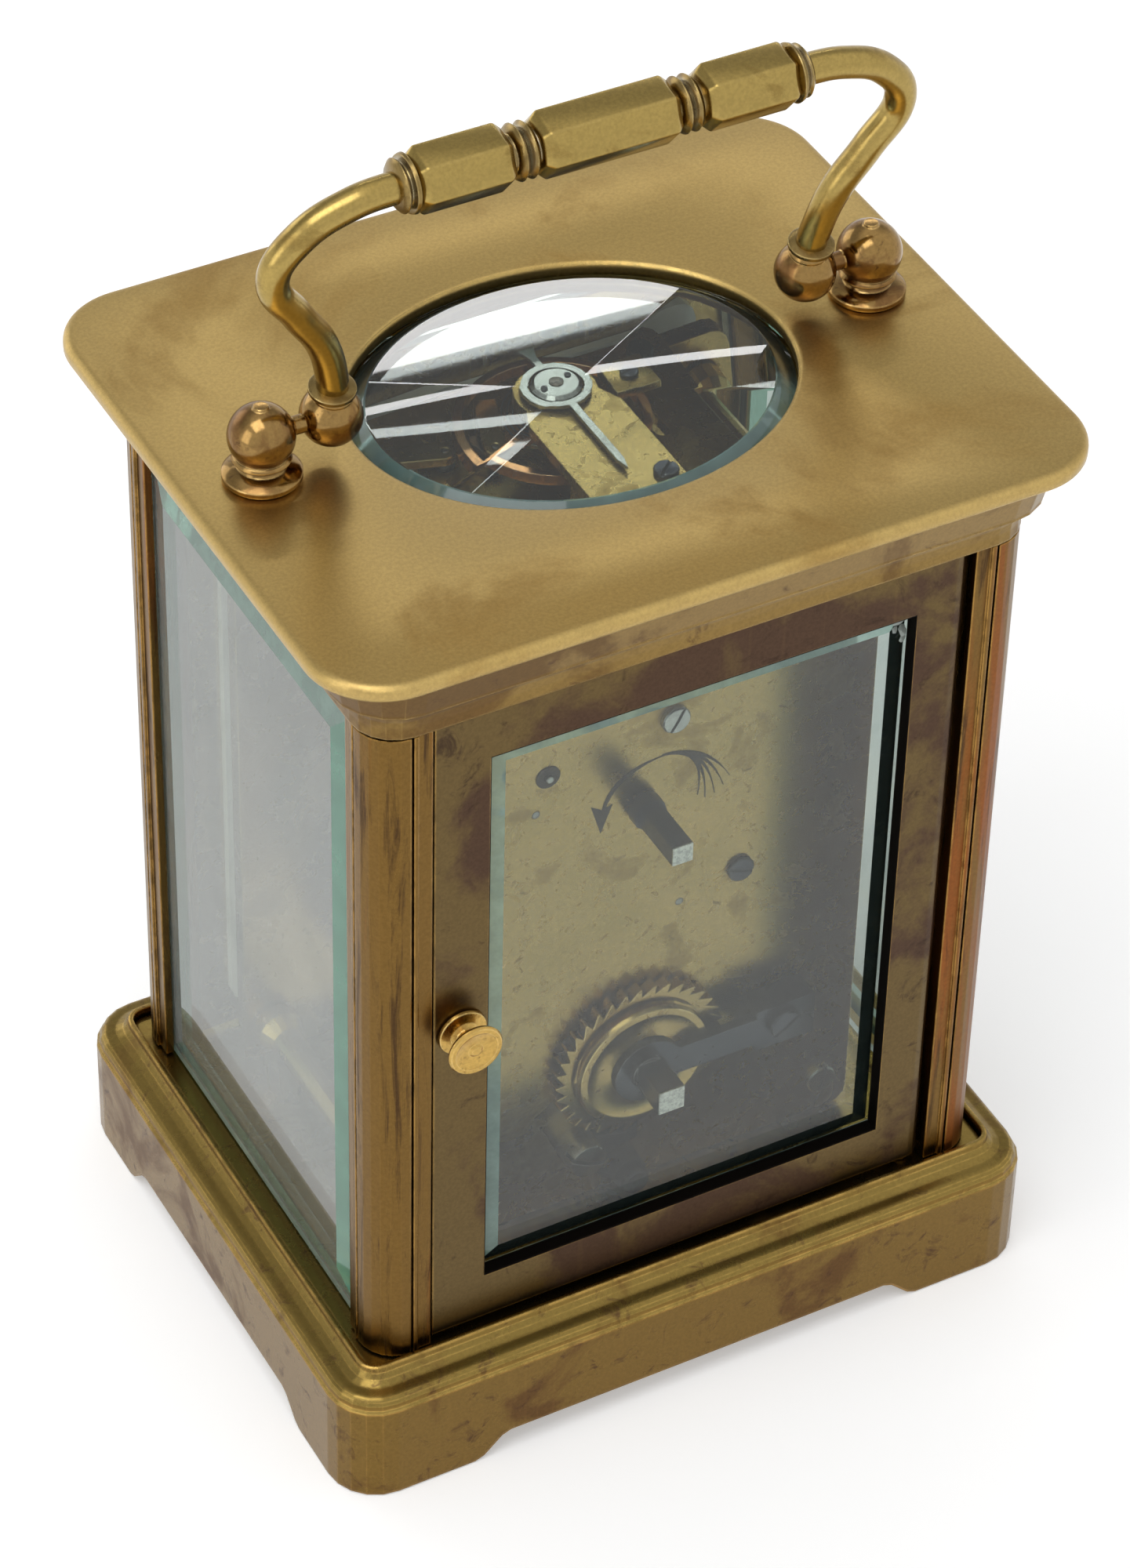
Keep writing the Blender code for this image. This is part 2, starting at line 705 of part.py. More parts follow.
def pillar_outline(front):
    """A corner pillar's section, for the corner at +X +Y: fillet, bead, groove and quarter column twice."""
    x, y = BODY_WIDTH / 2, BODY_DEPTH / 2
    face_x, face_y = x - FILLET_SET_BACK, y - FILLET_SET_BACK
    column = (x - COLUMN_RADIUS, y - COLUMN_RADIUS)
    bead_x, bead_y = column[0] - GROOVE_WIDTH, column[1] - GROOVE_WIDTH
    inner_x, inner_y = x - PILLAR_SIDE, y - PILLAR_SIDE
    slot_out = GLASS_SET_IN - SLIP_GAP
    slot_in = GLASS_SET_IN + PANE_EDGE + SLIP_GAP
    points = [
        (inner_x, face_y),
        (bead_x - BEAD_WIDTH, face_y),
        (bead_x - BEAD_WIDTH, y),
        (bead_x, y),
        (bead_x, y - GROOVE_DEPTH),
        (column[0], y - GROOVE_DEPTH),
    ]
    points += arc(column, COLUMN_RADIUS, QUARTER_TURN, 0, 6)
    points += [
        (x - GROOVE_DEPTH, column[1]),
        (x - GROOVE_DEPTH, bead_y),
        (x, bead_y),
        (x, bead_y - BEAD_WIDTH),
        (face_x, bead_y - BEAD_WIDTH),
        (face_x, inner_y),
        (x - slot_out, inner_y),
        (x - slot_out, inner_y + GLASS_SLOT_DEPTH),
        (x - slot_in, inner_y + GLASS_SLOT_DEPTH),
        (x - slot_in, inner_y),
        (inner_x, inner_y),
    ]
    if front:
        points += [
            (inner_x, y - slot_in),
            (inner_x + GLASS_SLOT_DEPTH, y - slot_in),
            (inner_x + GLASS_SLOT_DEPTH, y - slot_out),
            (inner_x, y - slot_out),
        ]
    return points


def make_pillars():
    for side, sx in (("left", -1), ("right", 1)):
        for end, sy in (("front", -1), ("rear", 1)):
            name = f"pillar_{end}_{side}"
            outline = [(sx * x, sy * y) for x, y in pillar_outline(end == "front")]
            mesh = outline_mesh(name, [outline], PILLAR_BOTTOM, PILLAR_TOP)
            smooth(mesh)
            add(name, mesh, patina_brass())


def make_cornice():
    path = rounded_rectangle(BODY_WIDTH, BODY_DEPTH, CORNICE_CORNER_RADIUS)
    frieze = (FRIEZE_REACH, CORNICE_BOTTOM + FRIEZE_HEIGHT)
    edge = (CORNICE_EDGE_REACH, CORNICE_BOTTOM + CORNICE_EDGE_HEIGHT)
    fillet = (edge[0], edge[1] + PLINTH_LINE)
    top = TOP_PLATE_UNDERSIDE - SEAT_GAP
    profile = [(-CORNICE_WALL, CORNICE_BOTTOM), (FRIEZE_REACH, CORNICE_BOTTOM), frieze]
    profile += reversed(concave(edge, frieze))
    profile += [edge, fillet, (CORNICE_TOP_REACH, top), (-CORNICE_WALL, top)]
    cornice = add("cornice", moulding_mesh("cornice", path, profile), aged_brass())
    pin_end = DOOR_TOP + DOOR_PIN_LENGTH + SEAT_GAP
    mesh = rod_mesh("door pin hole", DOOR_PIN_RADIUS + PIVOT_CLEARANCE, CORNICE_BOTTOM - OVERRUN, pin_end)
    cut(cornice, "door pin hole", mesh, at(DOOR_AXIS_X, DOOR_AXIS_Y, 0))


def make_top_plate():
    outline = rounded_rectangle(TOP_PLATE_WIDTH, TOP_PLATE_DEPTH, TOP_PLATE_CORNER_RADIUS)
    mesh = outline_mesh(
        "top_plate", [outline, ellipse(OVAL_WIDTH, OVAL_DEPTH)], TOP_PLATE_UNDERSIDE, TOP_SURFACE
    )
    plate = add("top_plate", mesh, aged_brass())
    edge = plate.modifiers.new("rounded edge", "BEVEL")
    edge.width = TOP_PLATE_EDGE
    edge.segments = 2
    edge.limit_method = "ANGLE"
    edge.angle_limit = math.radians(50)
    smooth(mesh)


def bevelled_pane(name, outline, edge, margin, bevel_width, bevel_rise, place, parent=None):
    """A pane along local Z: its flat margin is as thick as the edge, and its bevel rises inside the margin."""
    mesh = outline_mesh(name, [outline], 0, edge)
    bm = bmesh.new()
    bm.from_mesh(mesh)
    bmesh.ops.dissolve_limit(bm, angle_limit=math.radians(1), verts=bm.verts, edges=bm.edges)
    top = [face for face in bm.faces if face.normal.z > 0.9]
    bmesh.ops.inset_region(bm, faces=top, thickness=margin)
    bmesh.ops.inset_region(bm, faces=top, thickness=bevel_width, depth=bevel_rise)
    bmesh.ops.triangulate(bm, faces=bm.faces)
    bm.to_mesh(mesh)
    bm.free()
    return add(name, mesh, bevelled_glass(), place, parent)


def rectangle(width, height):
    return [(width / 2, height / 2), (-width / 2, height / 2), (-width / 2, -height / 2), (width / 2, -height / 2)]


def make_case_glass():
    height = PILLAR_TOP - PILLAR_BOTTOM
    middle = (PILLAR_TOP + PILLAR_BOTTOM) / 2
    lap = PILLAR_SIDE - GLASS_SLOT_DEPTH + SEAT_GAP
    side = rectangle(BODY_DEPTH - 2 * lap, height)
    front = rectangle(BODY_WIDTH - 2 * lap, height)
    depth = GLASS_SET_IN + PANE_EDGE
    margin = GLASS_SLOT_DEPTH
    for name, sign in (("left_glass", -1), ("right_glass", 1)):
        turn = Matrix.Rotation(sign * QUARTER_TURN, 4, "Z") @ FACE_Y
        place = at(sign * (BODY_WIDTH / 2 - depth), 0, middle, turn)
        bevelled_pane(name, side, PANE_EDGE, margin, PANE_BEVEL_WIDTH, PANE_BEVEL_RISE, place)
    place = at(0, -(BODY_DEPTH / 2 - depth), middle, FACE_Y)
    bevelled_pane("front_glass", front, PANE_EDGE, margin, PANE_BEVEL_WIDTH, PANE_BEVEL_RISE, place)


def make_top_glass():
    low = TOP_PLATE_UNDERSIDE - SEAT_GAP - OVAL_GLASS_EDGE
    lap = 2 * OVAL_GLASS_LAP
    outline = ellipse(OVAL_WIDTH + lap, OVAL_DEPTH + lap)
    margin = OVAL_GLASS_LAP + SEAT_GAP
    bevelled_pane(
        "top_glass", outline, OVAL_GLASS_EDGE, margin, OVAL_BEVEL_WIDTH, OVAL_BEVEL_RISE, at(0, 0, low)
    )
    top = low - SEAT_GAP
    loops = [
        ellipse(OVAL_WIDTH + lap, OVAL_DEPTH + lap),
        ellipse(OVAL_WIDTH - 2 * RETAINER_LIP, OVAL_DEPTH - 2 * RETAINER_LIP),
    ]
    mesh = outline_mesh("top_glass_retainer", loops, top - RETAINER_HEIGHT, top)
    add("top_glass_retainer", mesh, aged_brass())


def make_handle_posts():
    for name, sign in (("handle_post_left", -1), ("handle_post_right", 1)):
        bottom = SEAT_GAP
        flange = bottom + POST_FLANGE_HEIGHT
        band = flange + POST_BAND_HEIGHT
        neck_angle = -math.acos(POST_NECK_RADIUS / POST_BALL_RADIUS)
        ball = ball_profile(POST_BALL_RADIUS, PIVOT_RISE, QUARTER_TURN, neck_angle)
        profile = ball + [
            (POST_BAND_RADIUS, band),
            (POST_BAND_RADIUS, flange),
            (POST_FLANGE_RADIUS, flange),
            (POST_FLANGE_RADIUS, bottom),
            (0, bottom),
        ]
        profile[0] = (0, PIVOT_RISE + POST_BALL_RADIUS)
        post = turned(name, profile, polished_brass(), at(sign * POST_HALF_SPAN, 0, TOP_SURFACE))
        hole = rod_mesh("knuckle pin hole", KNUCKLE_PIN_RADIUS + PIVOT_CLEARANCE,
                        POST_HALF_SPAN - POST_BALL_RADIUS - OVERRUN,
                        POST_HALF_SPAN - POST_BALL_RADIUS + KNUCKLE_PIN_DEPTH + SEAT_GAP)
        turn = Matrix.Rotation(sign * QUARTER_TURN, 4, "Y")
        cut(post, "knuckle pin hole", hole, at(0, 0, PIVOT_Z, turn))


def arm_points(sign):
    """The swan neck from the collar out to the elbow and back to the grip, in the handle's upright plane."""
    foot = Vector((PIVOT_HALF_SPAN, 0, COLLAR_RISE - ARM_SOCKET_DEPTH + SEAT_GAP))
    elbow = Vector((PIVOT_HALF_SPAN + ELBOW_REACH, 0, GRIP_RISE * 0.70))
    grip = Vector((GRIP_HALF_LENGTH - GRIP_RING_WIDTH, 0, GRIP_RISE))
    low_pull = Vector((0, 0, GRIP_RISE * 0.26))
    lean_pull = Vector((ELBOW_REACH * 0.10, 0, GRIP_RISE * 0.22))
    top_pull = Vector((ELBOW_REACH * 0.95, 0, 0))
    points = bezier(foot, foot + low_pull, elbow - lean_pull, elbow, 8)
    points += bezier(elbow, elbow + lean_pull, grip + top_pull, grip, 8)[1:]
    return [(sign * p.x, p.y, p.z) for p in points]


def bezier(start, first, second, end, steps):
    shares = [i / steps for i in range(steps + 1)]
    return [
        start * (1 - t) ** 3 + first * 3 * t * (1 - t) ** 2 + second * 3 * t * t * (1 - t) + end * t**3
        for t in shares
    ]


def grip_profile():
    """The turned core of the grip with its rings, from one end to the other."""
    ring_gap = GRIP_HALF_LENGTH - GRIP_RING_WIDTH
    inner = GRIP_MIDDLE_LENGTH / 2
    side_end = ring_gap
    side_start = side_end - GRIP_SIDE_LENGTH
    between = (side_start + inner) / 2
    wide, slim = GRIP_RING_RADIUS, GRIP_CORE_RADIUS
    half = GRIP_RING_WIDTH / 2
    end = [(0, GRIP_HALF_LENGTH), (slim, GRIP_HALF_LENGTH), (wide, GRIP_HALF_LENGTH - half), (slim, ring_gap)]
    ring = [(slim, between + GRIP_RING_WIDTH), (wide, between + half), (slim, between)]
    ring += [(wide, between - half), (slim, between - GRIP_RING_WIDTH)]
    top = end + ring
    return top + [(radius, -height) for radius, height in reversed(top)]


def facet_mesh(low, high):
    """One faceted length of the grip, with chamfered ends."""
    bm = bmesh.new()
    bmesh.ops.create_cone(bm, cap_ends=True, segments=6, radius1=GRIP_RADIUS, radius2=GRIP_RADIUS, depth=high - low)
    bmesh.ops.translate(bm, vec=(0, 0, (low + high) / 2), verts=bm.verts)
    ends = [face for face in bm.faces if abs(face.normal.z) > 0.9]
    rims = [edge for face in ends for edge in face.edges]
    bmesh.ops.bevel(bm, geom=rims, offset=GRIP_CHAMFER, segments=1, affect="EDGES")
    return mesh_from(bm, "facets")


def make_handle():
    hinge = joint_empty("handle axis", (0, 0, PIVOT_Z), (-HANDLE_LEAN, 0, 0))
    frame = hinge.matrix_world
    along_x = frame @ at(0, 0, GRIP_RISE, Matrix.Rotation(QUARTER_TURN, 4, "Y"))
    bar = turned("handle_bar", grip_profile(), polished_brass(), along_x, hinge, 16)
    middle = GRIP_MIDDLE_LENGTH / 2
    side_end = GRIP_HALF_LENGTH - GRIP_RING_WIDTH
    side_start = side_end - GRIP_SIDE_LENGTH
    for name, low, high in (
        ("middle facets", -middle, middle),
        ("left facets", -side_end, -side_start),
        ("right facets", side_start, side_end),
    ):
        join(bar, name, facet_mesh(low, high), along_x)
    for name, sign in (("left arm", -1), ("right arm", 1)):
        join(bar, name, wire_mesh(name, arm_points(sign), ARM_RADIUS), frame)
    for name, sign in (("handle_knuckle_left", -1), ("handle_knuckle_right", 1)):
        make_knuckle(name, sign, frame, hinge)


def make_knuckle(name, sign, frame, hinge):
    top = COLLAR_RISE
    low = COLLAR_RISE - COLLAR_HEIGHT
    neck = math.asin((low - COLLAR_HEIGHT / 2) / KNUCKLE_RADIUS)
    profile = [(0, top), (COLLAR_RADIUS, top), (COLLAR_RADIUS, low)]
    profile += ball_profile(KNUCKLE_RADIUS, 0, neck, -QUARTER_TURN)
    profile[-1] = (0, -KNUCKLE_RADIUS)
    place = frame @ at(sign * PIVOT_HALF_SPAN, 0, 0)
    knuckle = turned(name, profile, polished_brass(), place, hinge)
    pin_end = POST_HALF_SPAN - POST_BALL_RADIUS + KNUCKLE_PIN_DEPTH - PIVOT_HALF_SPAN
    turn = Matrix.Rotation(sign * QUARTER_TURN, 4, "Y")
    join(knuckle, name + " pin", rod_mesh("pin", KNUCKLE_PIN_RADIUS, 0, pin_end), place @ turn)
    socket = rod_mesh("socket", ARM_RADIUS + SLIP_GAP, COLLAR_RISE - ARM_SOCKET_DEPTH,
                      COLLAR_RISE + OVERRUN, TURNED_STEPS)
    cut(knuckle, name + " socket", socket, place)


def make_door():
    hinge = joint_empty("rear door axis", (DOOR_AXIS_X, DOOR_AXIS_Y, 0))
    middle = (DOOR_TOP + DOOR_BOTTOM) / 2
    height = DOOR_TOP - DOOR_BOTTOM
    opening = (DOOR_WIDTH - 2 * DOOR_STILE, height - 2 * DOOR_STILE)
    loops = [rectangle(DOOR_WIDTH, height), rectangle(*opening)]
    mesh = outline_mesh("door_frame", loops, -DOOR_THICKNESS / 2, DOOR_THICKNESS / 2)
    round_hinge_edge(mesh)
    frame = add("door_frame", mesh, patina_brass(), at(0, DOOR_AXIS_Y, middle, FACE_Y), hinge)
    rebate = rectangle(opening[0] + 2 * DOOR_REBATE, opening[1] + 2 * DOOR_REBATE)
    inner = outline_mesh("door rebate", [rebate], DOOR_THICKNESS / 2 - DOOR_REBATE_DEPTH, DOOR_THICKNESS / 2 + OVERRUN)
    cut(frame, "door rebate", inner, at(0, DOOR_AXIS_Y, middle, FACE_Y))
    for name, start, end in (
        ("upper door pin", DOOR_TOP - OVERRUN, DOOR_TOP + DOOR_PIN_LENGTH),
        ("lower door pin", DECK_HEIGHT - DOOR_PIN_LENGTH, DOOR_BOTTOM + OVERRUN),
    ):
        join(frame, name, rod_mesh(name, DOOR_PIN_RADIUS, start, end), at(DOOR_AXIS_X, DOOR_AXIS_Y, 0))
    knob_x = DOOR_WIDTH / 2 - DOOR_STILE / 2
    shank = outline_mesh("shank hole", [round_hole(0, 0, KNOB_SHANK_RADIUS + PIVOT_CLEARANCE)],
                         -DOOR_THICKNESS, DOOR_THICKNESS)
    cut(frame, "shank hole", shank, at(knob_x, DOOR_AXIS_Y, KNOB_HEIGHT, FACE_Y))
    make_door_glass(opening, middle, hinge)
    make_door_knob(knob_x, hinge)


def round_hinge_edge(mesh):
    """Rounds the door's hinge edge about the pins, so that it turns clear of the pillar."""
    bm = bmesh.new()
    bm.from_mesh(mesh)
    bmesh.ops.dissolve_limit(bm, angle_limit=math.radians(1), verts=bm.verts, edges=bm.edges)
    edge_x = -DOOR_WIDTH / 2 + WELD_DISTANCE
    hinge_edges = [
        edge for edge in bm.edges
        if all(v.co.x < edge_x for v in edge.verts) and abs(edge.verts[0].co.z - edge.verts[1].co.z) < WELD_DISTANCE
    ]
    reach = DOOR_THICKNESS / 2 - WELD_DISTANCE * 10
    bmesh.ops.bevel(bm, geom=hinge_edges, offset=reach, segments=4, affect="EDGES", profile=0.5)
    bmesh.ops.triangulate(bm, faces=bm.faces)
    bm.to_mesh(mesh)
    bm.free()


def make_door_glass(opening, middle, hinge):
    lap = DOOR_REBATE - SEAT_GAP
    outline = rectangle(opening[0] + 2 * lap, opening[1] + 2 * lap)
    edge = DOOR_REBATE_DEPTH - 2 * SEAT_GAP
    turn = FACE_Y @ Matrix.Rotation(HALF_TURN, 4, "X")
    place = at(0, DOOR_BACK + SEAT_GAP, middle, turn)
    bevelled_pane(
        "door_glass", outline, edge, DOOR_REBATE, DOOR_GLASS_BEVEL, DOOR_GLASS_RISE, place, hinge
    )


def make_door_knob(knob_x, hinge):
    face = KNOB_LENGTH
    rim = KNOB_DISC_RADIUS
    profile = [
        (0, face - KNOB_DISC_THICKNESS / 4),
        (KNOB_SHANK_RADIUS / 2, face - KNOB_DISC_THICKNESS / 2),
        (rim * 0.7, face - KNOB_DISC_THICKNESS / 4),
        (rim * 0.85, face),
        (rim, face - KNOB_DISC_THICKNESS / 3),
        (rim, face - KNOB_DISC_THICKNESS),
        (KNOB_NECK_RADIUS, face - KNOB_DISC_THICKNESS * 1.5),
        (KNOB_NECK_RADIUS, SEAT_GAP + KNOB_DISC_THICKNESS),
        (KNOB_FLANGE_RADIUS, SEAT_GAP + KNOB_DISC_THICKNESS / 2),
        (KNOB_FLANGE_RADIUS, SEAT_GAP),
        (KNOB_SHANK_RADIUS, SEAT_GAP),
        (KNOB_SHANK_RADIUS, SEAT_GAP - DOOR_THICKNESS),
        (0, SEAT_GAP - DOOR_THICKNESS),
    ]
    turn = Matrix.Rotation(-QUARTER_TURN, 4, "X")
    turned("door_knob", profile, polished_brass(), at(knob_x, DOOR_FACE, KNOB_HEIGHT, turn), hinge)


def plate_mesh(name, low, high):
    """A movement plate from low to high along Y, as an outline in X and Z."""
    bottom = DECK_HEIGHT + SEAT_GAP
    height = MOVEMENT_TOP - bottom
    middle = (MOVEMENT_TOP + bottom) / 2
    outline = rounded_rectangle(2 * MOVEMENT_HALF_WIDTH, height, MOVEMENT_CORNER_RADIUS, 3)
    loop = [(x, z + middle) for x, z in outline]
    return outline_mesh(name, [loop], -high, -low)


def make_movement_plates(arbors):
    for name, low, high in (
        ("front_plate", FRONT_PLATE_FACE, FRONT_PLATE_INNER),
        ("back_plate", BACK_PLATE_INNER, BACK_PLATE_FACE),
    ):
        plate = add(name, plate_mesh(name, low, high), gilt_brass(), FACE_Y)
        for label, (x, z) in arbors.items():
            radius = hole_radius(label)
            bore_y(plate, x, z, radius, low, high)


def hole_radius(label):
    if label == "barrel":
        return WINDING_ARBOR_RADIUS + PIVOT_CLEARANCE
    if label == "centre":
        return ARBOR_RADIUS + PIVOT_CLEARANCE
    return PIVOT_RADIUS + PIVOT_CLEARANCE


def make_movement_pillars():
    low = FRONT_PLATE_INNER + SEAT_GAP
    high = BACK_PLATE_INNER - SEAT_GAP
    collar, length, slim = FRAME_PILLAR_COLLAR, FRAME_PILLAR_COLLAR_LENGTH, FRAME_PILLAR_RADIUS
    profile = [
        (0, high), (collar, high), (collar, high - length), (slim, high - 2 * length),
        (slim, low + 2 * length), (collar, low + length), (collar, low), (0, low),
    ]
    for row, z in (("lower", FRAME_PILLAR_LOW_Z), ("upper", FRAME_PILLAR_HIGH_Z)):
        for side, sx in (("left", -1), ("right", 1)):
            turn = Matrix.Rotation(-QUARTER_TURN, 4, "X")
            place = at(sx * FRAME_PILLAR_X, 0, z, turn)
            turned(f"movement_pillar_{row}_{side}", profile, gilt_brass(), place, None, 16)


def meeting_point(first, second, first_reach, second_reach, side):
    """The point at the given distances from two others, to one side of the line between them."""
    a, b = Vector(first), Vector(second)
    line = b - a
    span = line.length
    along = (first_reach**2 - second_reach**2 + span**2) / (2 * span)
    off = math.sqrt(first_reach**2 - along**2)
    unit = line / span
    return tuple(a + unit * along + Vector((unit.y, -unit.x)) * off * side)


def arbor_places():
    barrel = (0, BARREL_Z)
    centre = (0, CENTRE_Z)
    contrate = (CONTRATE_X, CONTRATE_Z)
    return {
        "barrel": barrel,
        "second": meeting_point(barrel, centre, BARREL_TO_SECOND, SECOND_TO_CENTRE, -1),
        "centre": centre,
        "third": meeting_point(centre, contrate, CENTRE_TO_THIRD, THIRD_TO_CONTRATE, 1),
        "contrate": contrate,
    }


def pitch_radii(distance, teeth, leaves):
    return distance * teeth / (teeth + leaves), distance * leaves / (teeth + leaves)


def pinion_outline(leaves, pitch_radius, phase=0.0):
    """Thin straight-sided leaves, four points each."""
    module = 2 * pitch_radius / leaves
    tip = pitch_radius + ADDENDUM_SHARE * module
    root = pitch_radius - DEDENDUM_SHARE * module
    step = FULL_TURN / leaves
    shape = ((root, -ROOT_SHARE), (tip, -TIP_SHARE), (tip, TIP_SHARE), (root, ROOT_SHARE))
    return toothed(shape, leaves, phase, step)


def wheel_outline(teeth, pitch_radius, phase=0.0):
    """Narrow-tipped teeth with a pointed gap, three points each."""
    module = 2 * pitch_radius / teeth
    tip = pitch_radius + ADDENDUM_SHARE * module
    root = pitch_radius - GAP_DEPTH_SHARE * module
    step = FULL_TURN / teeth
    return toothed(((tip, -POINT_SHARE), (tip, POINT_SHARE), (root, 0.5)), teeth, phase, step)


def toothed(shape, count, phase, step):
    points = []
    for tooth in range(count):
        for radius, share in shape:
            angle = phase + (tooth + share) * step
            points.append((radius * math.cos(angle), radius * math.sin(angle)))
    return points


def mesh_phase(here, there, phase, teeth, other_teeth):
    """The angle of a tooth of the second wheel that puts its gap where a tooth of the first one points."""
    direction = math.atan2(there[1] - here[1], there[0] - here[0])
    step = FULL_TURN / teeth
    share = ((direction - phase) / step) % 1
    return direction + HALF_TURN + (share + 0.5) * FULL_TURN / other_teeth


def spoke_windows(rim_radius, hub_radius, spokes, width, steps=3):
    """The crossings of a wheel: one window between each two spokes."""
    windows = []
    for spoke in range(spokes):
        middle = FULL_TURN * (spoke + 0.5) / spokes + SPOKE_TURN
        half = HALF_TURN / spokes
        outer = half - math.asin(width / 2 / rim_radius)
        inner = half - math.asin(width / 2 / hub_radius)
        loop = arc((0, 0), rim_radius, middle - outer, middle + outer, steps)
        loop += arc((0, 0), hub_radius, middle + inner, middle - inner, 1)
        windows.append(loop)
    return windows


def wheel_loops(teeth, radius, phase, spokes=4):
    module = 2 * radius / teeth
    rim = radius - GAP_DEPTH_SHARE * module - WHEEL_RIM
    return [wheel_outline(teeth, radius, phase)] + spoke_windows(rim, WHEEL_HUB_RADIUS, spokes, SPOKE_WIDTH)


def arbor_profile(low, high, pivot=None):
    """An arbor along local Z with a slim pivot at each end."""
    pivot = PIVOT_RADIUS if pivot is None else pivot
    shoulder = MOVEMENT_PLATE_THICKNESS
    return [
        (0, high), (pivot, high), (pivot, high - shoulder), (ARBOR_RADIUS, high - shoulder),
        (ARBOR_RADIUS, low + shoulder), (pivot, low + shoulder), (pivot, low), (0, low),
    ]


def wheel_on_arbor(name, place, wheel, pinion, finish, span, hinge):
    """A crossed wheel with its pinion on one arbor. wheel and pinion are (loops, low, high) along -Y."""
    x, z = place
    body = turned(name, arbor_profile(*span), finish, at(x, 0, z, FACE_Y), hinge, SMALL_STEPS)
    for label, piece in (("wheel", wheel), ("pinion", pinion)):
        if piece:
            loops, low, high = piece
            join(body, name + " " + label, outline_mesh(label, loops, low, high), at(x, 0, z, FACE_Y))
    return body


def layer(middle, thickness):
    """The span along local Z, which points to -Y, of a wheel whose middle is at this Y."""
    return (-middle - thickness / 2, -middle + thickness / 2)


def make_train(arbors):
    span = (-BACK_PLATE_FACE, -FRONT_PLATE_FACE)
    great, second_leaf = pitch_radii(BARREL_TO_SECOND, BARREL_TEETH, BARREL_PINION_LEAVES)
    second, centre_leaf = pitch_radii(SECOND_TO_CENTRE, SECOND_TEETH, CENTRE_PINION_LEAVES)
    centre, third_leaf = pitch_radii(CENTRE_TO_THIRD, CENTRE_TEETH, THIRD_PINION_LEAVES)
    third, contrate_leaf = pitch_radii(THIRD_TO_CONTRATE, THIRD_TEETH, CONTRATE_PINION_LEAVES)
    leaf_width = WHEEL_THICKNESS + 2 * PINION_OVERHANG
    second_phase = mesh_phase(arbors["barrel"], arbors["second"], 0, BARREL_TEETH, BARREL_PINION_LEAVES)
    centre_phase = mesh_phase(arbors["second"], arbors["centre"], 0, SECOND_TEETH, CENTRE_PINION_LEAVES)
    third_phase = mesh_phase(arbors["centre"], arbors["third"], 0, CENTRE_TEETH, THIRD_PINION_LEAVES)
    contrate_phase = mesh_phase(arbors["third"], arbors["contrate"], 0, THIRD_TEETH, CONTRATE_PINION_LEAVES)

    make_barrel(arbors["barrel"], great)
    hinge = joint_empty("second wheel axis", (arbors["second"][0], 0, arbors["second"][1]))
    wheel_on_arbor(
        "second_wheel", arbors["second"],
        (wheel_loops(SECOND_TEETH, second, 0, 5), *layer(SECOND_LAYER, WHEEL_THICKNESS)),
        ([pinion_outline(BARREL_PINION_LEAVES, second_leaf, second_phase)],
         *layer(BARREL_LAYER, BARREL_TOOTH_WIDTH + 2 * PINION_OVERHANG)),
        gilt_brass(), span, hinge,
    )
    make_centre_wheel(arbors["centre"], centre, centre_leaf, centre_phase, leaf_width)
    hinge = joint_empty("third wheel axis", (arbors["third"][0], 0, arbors["third"][1]))
    wheel_on_arbor(
        "third_wheel", arbors["third"],
        (wheel_loops(THIRD_TEETH, third, 0), *layer(THIRD_LAYER, WHEEL_THICKNESS)),
        ([pinion_outline(THIRD_PINION_LEAVES, third_leaf, third_phase)], *layer(CENTRE_LAYER, leaf_width)),
        gilt_brass(), span, hinge,
    )
    make_contrate_wheel(arbors["contrate"], contrate_leaf, contrate_phase, leaf_width, span)


def make_barrel(place, pitch_radius):
    x, z = place
    hinge = joint_empty("barrel axis", (x, 0, z))
    drum_radius = pitch_radius - GAP_DEPTH_SHARE * 2 * pitch_radius / BARREL_TEETH - BARREL_DRUM_WALL
    face = outline_mesh(
        "barrel", [wheel_outline(BARREL_TEETH, pitch_radius), round_hole(0, 0, WINDING_ARBOR_RADIUS + PIVOT_CLEARANCE, 16)],
        *layer(BARREL_LAYER, BARREL_TOOTH_WIDTH),
    )
    barrel = add("barrel", face, gilt_brass(), at(x, 0, z, FACE_Y), hinge)
    start = -BARREL_LAYER - BARREL_TOOTH_WIDTH / 4
    open_end = -(BARREL_LAYER + BARREL_DRUM_DEPTH)
    inner_radius = drum_radius - BARREL_DRUM_WALL
    wall = [circle(0, 0, drum_radius, 30), circle(0, 0, inner_radius, 30)]
    join(barrel, "barrel wall", outline_mesh("barrel wall", wall, open_end, start), at(x, 0, z, FACE_Y))
    cap = [
        circle(0, 0, inner_radius - SLIP_GAP, 30),
        round_hole(0, 0, WINDING_ARBOR_RADIUS + PIVOT_CLEARANCE, 16),
    ]
    mesh = outline_mesh("barrel_cap", cap, open_end + SLIP_GAP, open_end + SLIP_GAP + BARREL_CAP_THICKNESS)
    add("barrel_cap", mesh, gilt_brass(), at(x, 0, z, FACE_Y), hinge)
    make_mainspring(at(x, 0, z, FACE_Y), inner_radius, open_end, hinge)


